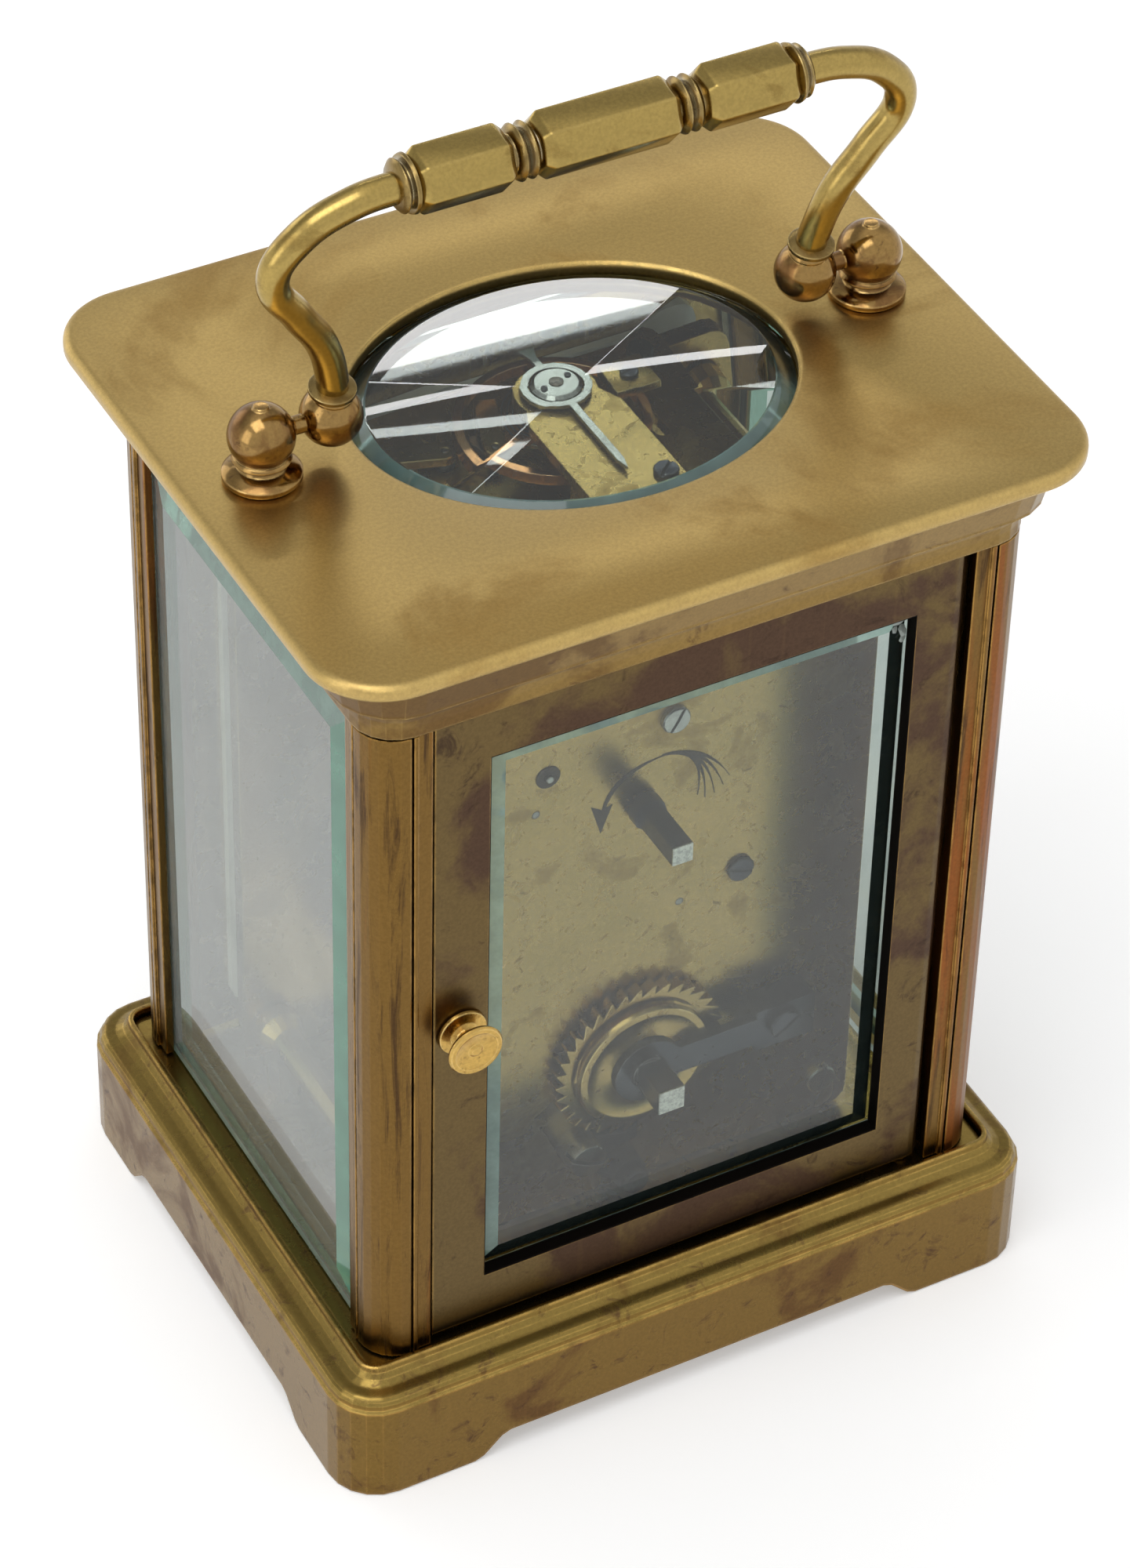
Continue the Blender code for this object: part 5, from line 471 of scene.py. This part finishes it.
WHEELS = {
    "centre_wheel": ("centre wheel brass", 0, 68.5, 1, 2.0, "blued"),
    "second_wheel": ("second wheel brass", -4.938, 53.071, 1, 1.7, "wheel"),
    "third_wheel": ("third wheel brass", 12.156, 71.815, 1, 1.5, "wheel"),
    "contrate_wheel": ("contrate wheel brass", 8, 82, 1, 1.4, "wheel"),
    "escape_wheel": ("escape wheel brass", 8, -10, 2, 1.0, "wheel"),
    "minute_wheel": ("minute wheel brass", 0, 0, 1, 0.1, "wheel"),
    "hour_wheel": ("hour wheel brass", 0, 68.5, 1, 0.1, "wheel"),
}


def dress(node, finish):
    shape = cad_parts[node]
    if not shape.material_slots:
        shape.data.materials.append(finish)
    for holder in shape.material_slots:
        holder.material = finish


for node_name, finish_name in NODE_FINISH.items():
    dress(node_name, FINISHES[finish_name])
for node_name, facts in WHEELS.items():
    dress(node_name, arbor_finish(*facts))


# Modelling helpers


def clear_selection():
    if bpy.context.mode != "OBJECT":
        bpy.ops.object.mode_set(mode="OBJECT")
    bpy.ops.object.select_all(action="DESELECT")


def pick(*pieces):
    clear_selection()
    for piece in pieces:
        piece.select_set(True)
    bpy.context.view_layer.objects.active = pieces[0]


def shape_edges(piece, wanted):
    """Opens the piece for editing with the wanted edges selected."""
    pick(piece)
    bpy.ops.object.mode_set(mode="EDIT")
    bpy.ops.mesh.select_mode(type="EDGE")
    bpy.ops.mesh.select_all(action="DESELECT")
    mesh = bmesh.from_edit_mesh(piece.data)
    for edge in mesh.edges:
        edge.select = wanted(edge)
    bmesh.update_edit_mesh(piece.data)


def finished(piece, name, body, finish, angle=35.0):
    """Puts the piece's place into its mesh and hangs it on its body."""
    pick(piece)
    bpy.ops.object.transform_apply(location=True, rotation=True, scale=True)
    bpy.ops.object.shade_smooth_by_angle(angle=math.radians(angle))
    piece.name = name
    piece.data.name = name
    piece.data.materials.clear()
    piece.data.materials.append(FINISHES[finish])
    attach(piece, body)
    return piece


def bevelled_faces(piece, finish, picked):
    """Gives the picked faces a second finish."""
    piece.data.materials.append(FINISHES[finish])
    for face in piece.data.polygons:
        if picked(face):
            face.material_index = 1


def tidy_mesh(piece):
    pick(piece)
    bpy.ops.object.mode_set(mode="EDIT")
    bpy.ops.mesh.select_all(action="SELECT")
    bpy.ops.mesh.remove_doubles(threshold=0.000002)
    bpy.ops.mesh.normals_make_consistent(inside=False)
    bpy.ops.object.mode_set(mode="OBJECT")


def lathe(profile, place, steps=64):
    """Turns a profile of (radius, height) points in millimetres round the place's own Z."""
    clear_selection()
    bpy.ops.mesh.primitive_plane_add(size=MM)
    piece = bpy.context.object
    bpy.ops.object.mode_set(mode="EDIT")
    bpy.ops.mesh.select_mode(type="VERT")
    bpy.ops.mesh.select_all(action="SELECT")
    bpy.ops.mesh.merge(type="CENTER")
    last = (0.0, 0.0)
    for count, point in enumerate(profile):
        step = ((point[0] - last[0]) * MM, 0, (point[1] - last[1]) * MM)
        if count:
            bpy.ops.mesh.extrude_vertices_move(TRANSFORM_OT_translate={"value": step})
        else:
            bpy.ops.transform.translate(value=step)
        last = point
    bpy.ops.mesh.select_all(action="SELECT")
    bpy.ops.mesh.spin(steps=steps, angle=2 * math.pi, center=(0, 0, 0), axis=(0, 0, 1))
    bpy.ops.object.mode_set(mode="OBJECT")
    tidy_mesh(piece)
    piece.matrix_world = place
    return piece


def at(x, y, z):
    return Matrix.Translation(Vector((x, y, z)) * MM)


def facing(axis):
    """A turn that brings local Z to the named direction."""
    turns = {"+Z": (0, "X"), "+Y": (-90, "X"), "-Y": (90, "X"), "+X": (90, "Y"), "-X": (-90, "Y")}
    angle, round_axis = turns[axis]
    return Matrix.Rotation(math.radians(angle), 4, round_axis)


def joined(pieces):
    pick(*pieces)
    bpy.ops.object.join()
    return bpy.context.object


def soften(piece, width, segments=3, angle=40.0):
    pick(piece)
    bpy.ops.object.transform_apply(location=True, rotation=True, scale=True)
    bevel = piece.modifiers.new("Soft edges", "BEVEL")
    bevel.width = width * MM
    bevel.segments = segments
    bevel.limit_method = "ANGLE"
    bevel.angle_limit = math.radians(angle)
    bpy.ops.object.modifier_apply(modifier=bevel.name)
    return piece


def cut_with(piece, cutter):
    pick(piece)
    cut = piece.modifiers.new("Cut", "BOOLEAN")
    cut.operation = "DIFFERENCE"
    cut.solver = "EXACT"
    cut.object = cutter
    bpy.ops.object.modifier_apply(modifier=cut.name)
    bpy.data.objects.remove(cutter)
    return piece


def block(low, high):
    clear_selection()
    low, high = Vector(low) * MM, Vector(high) * MM
    bpy.ops.mesh.primitive_cube_add(size=1, location=(low + high) / 2)
    piece = bpy.context.object
    piece.scale = high - low
    bpy.ops.object.transform_apply(location=True, rotation=True, scale=True)
    return piece


def tube(points, radius, place, round_steps=5, closed=False, smooth=True):
    """A round bar along smooth points in millimetres."""
    line = bpy.data.curves.new("bar", "CURVE")
    line.dimensions = "3D"
    line.bevel_depth = radius * MM
    line.bevel_resolution = round_steps
    line.use_fill_caps = not closed
    line.resolution_u = 10
    spline = line.splines.new("BEZIER" if smooth else "POLY")
    if smooth:
        spline.bezier_points.add(len(points) - 1)
        for knot, point in zip(spline.bezier_points, points):
            knot.co = Vector(point) * MM
            knot.handle_left_type = knot.handle_right_type = "AUTO"
    else:
        spline.points.add(len(points) - 1)
        for knot, point in zip(spline.points, points):
            knot.co = (*(Vector(point) * MM), 1)
    spline.use_cyclic_u = closed
    piece = bpy.data.objects.new("bar", line)
    bpy.context.scene.collection.objects.link(piece)
    pick(piece)
    bpy.ops.object.convert(target="MESH")
    piece = bpy.context.object
    tidy_mesh(piece)
    piece.matrix_world = place
    return piece


def flat_shapes(outlines, thick, place):
    """Filled flat outlines in millimetres, drawn in the place's XY."""
    sheet = bpy.data.curves.new("flat", "CURVE")
    sheet.dimensions = "2D"
    sheet.fill_mode = "BOTH"
    sheet.extrude = thick * MM / 2
    for outline in outlines:
        spline = sheet.splines.new("POLY")
        spline.points.add(len(outline) - 1)
        for knot, point in zip(spline.points, outline):
            knot.co = (point[0] * MM, point[1] * MM, 0, 1)
        spline.use_cyclic_u = True
    piece = bpy.data.objects.new("flat", sheet)
    bpy.context.scene.collection.objects.link(piece)
    pick(piece)
    bpy.ops.object.convert(target="MESH")
    piece = bpy.context.object
    tidy_mesh(piece)
    piece.matrix_world = place
    return piece


def ball(radius, centre, start, end, count=14):
    """Profile points of a ball from one angle to another, up from the bottom."""
    turns = [math.radians(start + (end - start) * i / count) for i in range(count + 1)]
    return [(max(0.0, radius * math.cos(t)), centre + radius * math.sin(t)) for t in turns]


def spiral(inner, outer, turns, per_turn, centre_z=0.0):
    count = int(turns * per_turn)
    return [
        ((inner + (outer - inner) * i / count) * math.cos(2 * math.pi * i / per_turn),
         (inner + (outer - inner) * i / count) * math.sin(2 * math.pi * i / per_turn), centre_z)
        for i in range(count + 1)
    ]


# Top plate with its rounded rim and oval opening


def make_top_plate():
    plate = block((-42, -34.25, TOP_UNDERSIDE), (42, 34.25, TOP_SURFACE))
    shape_edges(plate, lambda e: abs(e.verts[0].co.z - e.verts[1].co.z) > 1e-4)
    bpy.ops.mesh.bevel(offset=8 * MM, offset_type="OFFSET", segments=16, affect="EDGES")
    bpy.ops.object.mode_set(mode="OBJECT")
    high = TOP_SURFACE * MM - 1e-5
    shape_edges(plate, lambda e: all(v.co.z > high for v in e.verts) and e.calc_face_angle(0) > 1)
    bpy.ops.mesh.bevel(offset=0.75 * MM, offset_type="OFFSET", segments=5, affect="EDGES")
    bpy.ops.object.mode_set(mode="OBJECT")
    clear_selection()
    middle = (0, 0, (TOP_UNDERSIDE + TOP_SURFACE) / 2 * MM)
    bpy.ops.mesh.primitive_cylinder_add(vertices=128, radius=1, depth=10 * MM, location=middle)
    cutter = bpy.context.object
    cutter.scale = (23.3 * MM, 19.1 * MM, 1)
    pick(cutter)
    bpy.ops.object.transform_apply(location=True, rotation=True, scale=True)
    cut_with(plate, cutter)
    soften(plate, 0.22, 2, 60)
    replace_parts(finished(plate, "top_plate_shown", "case", "satin_top_brass", 40), "top_plate")


def make_oval_glass():
    profile = [(0, 107.32), (24.0, 107.32), (24.05, 107.5), (24.05, 108.42), (23.2, 108.5), (21.1, 109.86),
               (20.9, 109.9), (0, 109.9)]
    oval = lathe(profile, Matrix.Diagonal((1, 19.88 / 24.05, 1, 1)), 160)
    finished(oval, "top_glass_shown", "case", "clear_glass", 12)
    bevelled_faces(oval, "oval_ground", lambda f: 0.1 < f.normal.z < 0.98)
    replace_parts(oval, "top_glass")


def make_pane(node, axis, body, finish, ground, margin, width, rise):
    """A pane in its node's place, with its outer face ground to a bevel all round."""
    low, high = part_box(node)
    side = 1 if (low + high)[axis] > 0 else -1
    if side > 0:
        high[axis] -= rise * MM
    else:
        low[axis] += rise * MM
    pane = block(low / MM, high / MM)
    pick(pane)
    bpy.ops.object.mode_set(mode="EDIT")
    bpy.ops.mesh.select_mode(type="FACE")
    bpy.ops.mesh.select_all(action="DESELECT")
    mesh = bmesh.from_edit_mesh(pane.data)
    for face in mesh.faces:
        face.select = face.normal[axis] * side > 0.9
    bmesh.update_edit_mesh(pane.data)
    bpy.ops.mesh.inset(thickness=margin * MM, depth=0)
    bpy.ops.mesh.inset(thickness=width * MM, depth=rise * MM)
    bpy.ops.object.mode_set(mode="OBJECT")
    finished(pane, node + "_shown", body, finish, 5)
    bevelled_faces(pane, ground, lambda f: abs(f.normal[axis]) < 0.995)
    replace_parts(pane, node)


def make_panes():
    make_pane("door_glass", 1, "door", "clear_glass", "door_ground", 1.1, 2.0, 0.5)
    make_pane("left_glass", 0, "case", "hazy_glass", "side_ground", 1.6, 3.4, 0.7)
    make_pane("right_glass", 0, "case", "hazy_glass", "side_ground", 1.6, 3.4, 0.7)
    make_pane("front_glass", 1, "case", "clear_glass", "door_ground", 1.6, 3.4, 0.7)
    chips = []
    for x, z, size, turn in ((-22.4, 92.0, 0.85, 10), (-21.3, 92.5, 0.6, 50), (-22.9, 90.6, 0.7, 80),
                             (-20.2, 92.7, 0.45, 20), (-22.0, 91.0, 0.5, 65), (-23.0, 89.4, 0.45, 35)):
        clear_selection()
        bpy.ops.mesh.primitive_ico_sphere_add(subdivisions=1, radius=size * MM)
        chip = bpy.context.object
        chip.matrix_world = (at(x, 27.3, z) @ Matrix.Rotation(math.radians(turn), 4, (0.3, 0.8, 0.5))
                             @ Matrix.Diagonal((1.2, 0.35, 0.8, 1)))
        chips.append(chip)
    finished(joined(chips), "door_glass_chips", "door", "chipped_glass", 5)


def make_dial_mask():
    mask = block((-29.6, -24.35, 15.3), (29.6, -23.87, 99.1))
    cut_with(mask, block((-24.4, -26, 21.2), (24.4, -22, 91.6)))
    soften(mask, 0.12, 2, 60)
    finished(mask, "dial_mask", "case", "gilt_plate", 30)


def make_posts():
    profile = [(0, 110.45), (3.7, 110.45), (3.95, 110.75), (3.95, 111.25), (3.6, 111.55), (3.0, 111.75),
               (2.45, 112.0), (2.3, 112.35), (2.75, 112.6), (2.95, 112.9), (2.75, 113.2), (2.45, 113.3)]
    profile += ball(3.35, PIVOT_Z, -38, 76) + [(0.8, 118.72), (0.72, 118.92), (0, 118.95)]
    for side, name in SIDES:
        post = lathe(profile, at(side * POST_X, 0, 0))
        pin_place = at(side * POST_X, 0, PIVOT_Z) @ facing("+X" if side > 0 else "-X")
        pin = lathe([(0, -7.6), (0.95, -7.6), (0.95, 0), (0, 0)], pin_place)
        post = joined([post, pin])
        finished(post, "handle_post_shown_" + name, "case", "ball_brass")
        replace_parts(post, "handle_post_" + name)


def lean():
    return Matrix.Translation(PIVOT) @ Matrix.Rotation(-LEAN, 4, "X") @ Matrix.Translation(-PIVOT)


def make_knuckles():
    ring = [(0, -0.42), (1.9, -0.42), (2.35, -0.2), (2.35, 0.2), (1.9, 0.42), (0, 0.42)]
    profile = ball(3.15, PIVOT_Z, -90, 52) + [(2.0, 118.1), (1.75, 118.5), (0, 118.5)]
    for side, name in SIDES:
        knuckle = lathe(profile, lean() @ at(side * KNUCKLE_X, 0, 0))
        finished(knuckle, "handle_knuckle_shown_" + name, "handle", "ball_brass")
        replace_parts(knuckle, "handle_knuckle_" + name)
        collar = lathe(ring, lean() @ at(side * 26.35, 0, 119.0))
        finished(collar, "handle_collar_" + name, "handle", "ring_brass")

def make_bar():
    """The two swan necks and the three faceted lengths of the grip."""
    swan_neck = ((26.2, 2.6), (26.5, 5.2), (28.0, 10.4), (30.9, 15.2), (33.7, 20.7), (31.2, 25.2),
                 (26.2, 27.7), (20.6, 28.3))
    arms = []
    for side, _ in SIDES:
        arms.append(tube([(side * x, 0, PIVOT_Z + rise) for x, rise in swan_neck], ARM_RADIUS, lean(), 8))
    grips = []
    for low, high in ((-7.3, 7.3), (10.3, 20.1), (-20.1, -10.3)):
        length = high - low
        section = [(0, 0), (2.7, 0), (3.42, 0.75), (3.42, length - 0.75), (2.7, length), (0, length)]
        place = lean() @ at(low, 0, GRIP_Z) @ facing("+X") @ Matrix.Rotation(math.radians(30), 4, "Z")
        grips.append(soften(lathe(section, place, 6), 0.16, 3, 30))
    bar = joined(arms + grips)
    finished(bar, "handle_bar_shown", "handle", "handle_brass", 32)
    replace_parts(bar, "handle_bar")

def make_grip_rings():
    neck = [(0, 0), (1.9, 0), (1.75, 0.35), (2.55, 0.55), (2.85, 0.95), (2.5, 1.35), (1.9, 1.5), (2.5, 1.65),
            (2.85, 2.05), (2.55, 2.45), (1.9, 2.6), (1.9, 3.2), (0, 3.2)]
    end = [(0, 0), (2.4, 0), (3.0, 0.35), (2.9, 0.7), (2.1, 0.85), (2.5, 1.1), (2.7, 1.4), (2.3, 1.75),
           (1.5, 1.9), (0, 1.9)]
    for side, name in SIDES:
        turn = facing("+X" if side > 0 else "-X")
        inner = lathe(neck, lean() @ at(side * 7.2, 0, GRIP_Z) @ turn, 40)
        outer = lathe(end, lean() @ at(side * 20.0, 0, GRIP_Z) @ turn, 40)
        finished(joined([inner, outer]), "handle_rings_" + name, "handle", "ring_brass", 50)

def make_knob():
    profile = [(0, 28.8), (2.55, 28.8), (2.7, 29.0), (2.6, 29.3), (1.5, 29.5), (1.1, 29.9), (1.05, 30.6),
               (1.5, 31.0), (2.4, 31.3), (2.9, 31.65), (3.0, 31.95), (2.8, 32.2), (2.35, 32.22),
               (2.05, 32.05), (0.8, 31.95), (0.62, 32.1), (0.5, 32.2), (0, 32.22)]
    knob = lathe(profile, at(26.6, 0, 58.5) @ facing("+Y"))
    finished(knob, "door_knob_shown", "door", "knob_brass", 30)
    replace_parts(knob, "door_knob")


# Springs, wound from flat strip


def make_springs():
    low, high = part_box("hairspring")
    centre = (low + high) / 2 / MM
    coil = tube(spiral(1.3, 5.5, 7.5, 40), 0.09, at(BALANCE[0], BALANCE[1], centre.z), 3, smooth=False)
    finished(coil, "hairspring_shown", "balance", "blued_steel", 60)
    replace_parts(coil, "hairspring")
    low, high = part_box("mainspring")
    middle = (low + high) / 2 / MM
    half_wire = 0.32
    place = at(0, middle.y, BARREL_Z) @ facing("+Y")
    strip = tube(spiral(5.2, 15.8, 7.0, 48), half_wire, place, 2, smooth=False)
    pick(strip)
    bpy.ops.object.transform_apply(location=True, rotation=True, scale=True)
    half = (high.y - low.y) / 2
    for vertex in strip.data.vertices:
        offset = vertex.co.y - middle.y * MM
        vertex.co.y = middle.y * MM + offset / (half_wire * MM) * half * 0.95
    finished(strip, "mainspring_shown", "barrel", "blued_steel", 60)
    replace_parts(strip, "mainspring")


# Slotted screws


def make_screw(name, place, radius, height, turn, finish="blued_steel", body="case"):
    head = lathe([(0, 0), (radius, 0), (radius, height * 0.7), (radius * 0.9, height), (0, height * 1.12)],
                 Matrix.Identity(4), 40)
    width = radius * 0.24
    cutter = block((-radius * 1.5, -width / 2, height * 0.55), (radius * 1.5, width / 2, height * 2))
    cut_with(head, cutter)
    head.matrix_world = place @ Matrix.Rotation(math.radians(turn), 4, "Z")
    return finished(head, name, body, finish, 30)


def make_plate_screws():
    rear = facing("+Y")
    for count, (x, z) in enumerate(((23.6, 19.5), (-23.6, 19.5), (23.6, 88.5), (-23.6, 88.5))):
        place = at(x, PLATE_BACK, z) @ rear
        turn = 25 + 50 * count
        make_screw(f"pillar_screw_{count}", place, 1.75, 0.6, turn, "grey_steel")
    place = at(-3.4, PLATE_BACK, 78.7) @ rear
    make_screw("cock_stay_screw", place, 1.6, 0.7, 60, "grey_steel")
    make_screw("plate_low_screw", at(0.9, PLATE_BACK, 16.6) @ rear, 1.2, 0.5, 20)
    make_screw("plate_side_screw", at(-12, PLATE_BACK, 55) @ rear, 1.5, 0.6, -20)
    make_screw("ratchet_cock_screw", at(-16.2, 19.72, 34.3) @ rear, 1.9, 0.9, 35)
    click = make_screw("click_screw_shown", at(6.6, PLATE_BACK, 23.1) @ rear, 2.3, 3.2, -25, "grey_steel")
    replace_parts(click, "click_screw")
    make_screw("click_spring_screw", at(0.7, 18.6, 17.3) @ rear, 1.5, 0.7, 50)
    sink = lathe([(0, 0), (1.35, 0), (1.35, 0.1), (1.0, 0.12), (0.5, 0.05), (0.45, 0.3), (0, 0.34)],
                 at(10.9, PLATE_BACK, 76.4) @ rear, 40)
    finished(sink, "plate_pivot", "case", "engraved_dark", 30)
    pivot = lathe([(0, 0), (0.42, 0), (0.42, 0.45), (0.3, 0.55), (0, 0.58)],
                  at(10.9, PLATE_BACK + 0.08, 76.4) @ rear, 24)
    finished(pivot, "plate_pivot_end", "case", "grey_steel", 30)


def make_platform_details():
    for count, (x, y) in enumerate(((16.6, -16.4), (-16.6, -16.4), (16.6, 12.6), (-16.6, 12.6))):
        make_screw(f"platform_screw_{count}", at(x, y, 95.32), 1.3, 0.6, 30 + 40 * count)
    block_piece = soften(block((-12.0, -8.2, 101.75), (-7.3, -3.6, 102.85)), 0.15, 2)
    finished(block_piece, "stud_block", "case", "gilt_plate", 30)
    make_screw("stud_screw", at(-9.6, -5.8, 102.86), 0.95, 0.45, 15)
    make_screw("cock_screw", at(-5.4, 9.9, 102.92), 1.3, 0.6, 40)
    x, y = BALANCE
    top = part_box("endstone_cap")[1].z / MM
    for count, side in enumerate((-1, 1)):
        place = at(x + side * 1.55, y + side * 0.5, top + 0.01)
        make_screw(f"endstone_screw_{count}", place, 0.34, 0.16, 20)
    profile = [(0, 0), (0.75, 0), (0.75, 0.08), (0.5, 0.16), (0.2, 0.1), (0, 0.08)]
    jewel = lathe(profile, at(x, y, top + 0.01), 32)
    finished(jewel, "endstone_jewel", "case", "smoky_jewel", 30)


def blade(start, bend, end, width, count=10):
    """A tapering curved stroke as one outline."""
    left, right = [], []
    for i in range(count + 1):
        t = i / count
        x = (1 - t) ** 2 * start[0] + 2 * t * (1 - t) * bend[0] + t * t * end[0]
        y = (1 - t) ** 2 * start[1] + 2 * t * (1 - t) * bend[1] + t * t * end[1]
        dx = 2 * (1 - t) * (bend[0] - start[0]) + 2 * t * (end[0] - bend[0])
        dy = 2 * (1 - t) * (bend[1] - start[1]) + 2 * t * (end[1] - bend[1])
        size = math.hypot(dx, dy)
        half = width / 2 * (0.25 + 0.75 * math.sin(math.pi * min(1, t + 0.12)))
        left.append((x - dy / size * half, y + dx / size * half))
        right.append((x + dy / size * half, y - dx / size * half))
    return left + right[::-1]


def make_engraved_arrow():
    shapes = [
        blade((4.5, 69.3), (3.4, 74.0), (-2.8, 74.1), 0.62),
        [(4.7, 66.4), (5.9, 70.4), (4.6, 69.5), (3.4, 69.9)],
    ]
    for end in ((-10.2, 68.4), (-9.5, 67.4), (-8.5, 66.7), (-7.4, 66.5), (-6.5, 67.2)):
        shapes.append(blade((-2.2, 74.2), (-7.4, 73.8), end, 0.42))
    strokes = []
    for count, outline in enumerate(shapes):
        place = at(0, PLATE_BACK + 0.01 + 0.004 * count, 0) @ facing("-Y")
        strokes.append(flat_shapes([outline], 0.03, place))
    arrow = joined(strokes)
    finished(arrow, "engraved_arrow", "case", "engraved_dark", 30)


def make_ratchet_face():
    steps = [(2.6, 0), (2.6, 0.5), (3.4, 0.62), (4.1, 0.3), (5.2, 0.18), (6.3, 0.3), (6.9, 0.55),
             (7.6, 0.5), (7.9, 0)]
    face = lathe(steps + [steps[0]], at(0, RATCHET_BACK, BARREL_Z) @ facing("+Y"), 72)
    finished(face, "ratchet_face", "winding", "ratchet_brass", 25)


# Enamel dial markings


def make_dial_markings():
    face = Matrix.Translation(DIAL_CENTRE) @ facing("-Y")
    marks = []
    for inner, outer in ((20.6, 20.75), (22.3, 22.45)):
        marks.append(lathe([(inner, 0), (outer, 0), (outer, 0.02), (inner, 0.02), (inner, 0)], face, 120))
    for minute in range(60):
        half = 0.22 if minute % 5 == 0 else 0.08
        tick = block((-half, 20.7, 0), (half, 22.35, 0.03))
        tick.matrix_world = face @ Matrix.Rotation(math.radians(-6 * minute), 4, "Z")
        marks.append(tick)
    for hour, words in enumerate(HOURS):
        clear_selection()
        bpy.ops.object.text_add()
        text = bpy.context.object
        text.data.body = words
        text.data.size = 5.6 * MM
        text.data.align_x = "CENTER"
        text.data.align_y = "CENTER"
        text.data.extrude = 0.015 * MM
        pick(text)
        bpy.ops.object.convert(target="MESH")
        text = bpy.context.object
        text.matrix_world = (face @ Matrix.Rotation(math.radians(-30 * hour), 4, "Z")
                             @ at(0, 17.3, 0.02) @ Matrix.Diagonal((0.78, 1.15, 1, 1)))
        marks.append(text)
    for mark in marks:
        pick(mark)
        bpy.ops.object.transform_apply(location=True, rotation=True, scale=True)
    finished(joined(marks), "dial_markings", "case", "black_paint", 30)


make_top_plate()
make_oval_glass()
make_panes()
make_dial_mask()
make_posts()
make_knuckles()
make_bar()
make_grip_rings()
make_knob()
make_springs()
make_plate_screws()
make_platform_details()
make_engraved_arrow()
make_ratchet_face()
make_dial_markings()


# Studio


def make_floor():
    clear_selection()
    bpy.ops.mesh.primitive_plane_add(size=6, location=(0, 0, -0.0002))
    floor = bpy.context.object
    floor.name = "studio_floor"
    made, tree, shader = start_material("pale floor")
    shader.inputs["Base Color"].default_value = (0.9, 0.9, 0.9, 1)
    shader.inputs["Roughness"].default_value = 0.9
    path = put(tree, "ShaderNodeLightPath").outputs
    seen = maths(tree, "MAXIMUM", path["Is Camera Ray"], path["Is Glossy Ray"])
    seen = maths(tree, "SUBTRACT", seen, maths(tree, "MULTIPLY", path["Is Transmission Ray"], 0.6))
    shader.inputs["Emission Color"].default_value = (1, 1, 1, 1)
    tree.links.new(maths(tree, "MULTIPLY", seen, 0.32), shader.inputs["Emission Strength"])
    floor.data.materials.append(made)


def make_world():
    """White to the camera, glass and metal low down, darker high behind the clock."""
    world = bpy.data.worlds.new("studio")
    world.use_nodes = True
    bpy.context.scene.world = world
    tree = world.node_tree
    path = put(tree, "ShaderNodeLightPath").outputs
    way = put(tree, "ShaderNodeTexCoord").outputs["Generated"]
    part = put(tree, "ShaderNodeSeparateXYZ", {0: way}).outputs
    rise = step_between(tree, part["Z"], 0.15, 0.5)
    fall = step_between(tree, part["Z"], 0.98, 0.75)
    behind = step_between(tree, part["Y"], 0.1, -0.45)
    dark = maths(tree, "MULTIPLY", maths(tree, "MULTIPLY", rise, fall), behind)
    mirrored = maths(tree, "SUBTRACT", 0.95, maths(tree, "MULTIPLY", dark, 0.5))
    level = blend_values(tree, path["Is Glossy Ray"], 0.6, mirrored)
    level = blend_values(tree, path["Is Transmission Ray"], level, 0.42)
    level = blend_values(tree, path["Is Camera Ray"], level, 1.0)
    tree.nodes["Background"].inputs["Color"].default_value = (1, 1, 1, 1)
    tree.links.new(level, tree.nodes["Background"].inputs["Strength"])


def stand(where, back, side):
    """The place of a lamp or camera that looks against back, with side to its right."""
    back = Vector(back).normalized()
    side = Vector(side)
    side = (side - back * back.dot(side)).normalized()
    return Matrix.Translation(Vector(where)) @ Matrix((side, back.cross(side), back)).transposed().to_4x4()

def softbox(name, where, towards, across, width, height, radiance):
    lamp = bpy.data.lights.new(name, "AREA")
    lamp.shape = "RECTANGLE"
    lamp.size = width
    lamp.size_y = height
    lamp.energy = radiance * math.pi * width * height
    holder = bpy.data.objects.new(name, lamp)
    bpy.context.scene.collection.objects.link(holder)
    holder.matrix_world = stand(where, Vector(where) - Vector(towards), across)

def make_lights():
    middle = (0, 0, 0.07)
    softbox("overhead", (0.28, 0.18, 0.85), middle, (1, 0, 0), 0.5, 0.5, 2.6)
    softbox("side", (0.85, 0.15, 0.4), middle, (0, 1, 0), 0.4, 0.6, 1.4)
    softbox("front_fill", (0.35, -0.85, 0.35), middle, (1, 0, 0), 0.5, 0.5, 1.2)
    on_glass = (-0.0015, -0.0142, 0.1099)
    softbox("strip", (-0.195, -0.370, 0.4065), on_glass, (-0.978, 0.185, -0.097), 0.3, 0.010, 9.0)

def make_camera():
    lens = bpy.data.cameras.new("camera")
    lens.lens = 123.4
    lens.sensor_width = 36
    lens.clip_start = 0.01
    lens.clip_end = 20
    camera = bpy.data.objects.new("camera", lens)
    bpy.context.scene.collection.objects.link(camera)
    camera.matrix_world = stand(CAMERA_PLACE, CAMERA_BACK, CAMERA_SIDE)
    bpy.context.scene.camera = camera


make_floor()
make_world()
make_lights()
make_camera()
bpy.context.scene.view_settings.view_transform = "Standard"
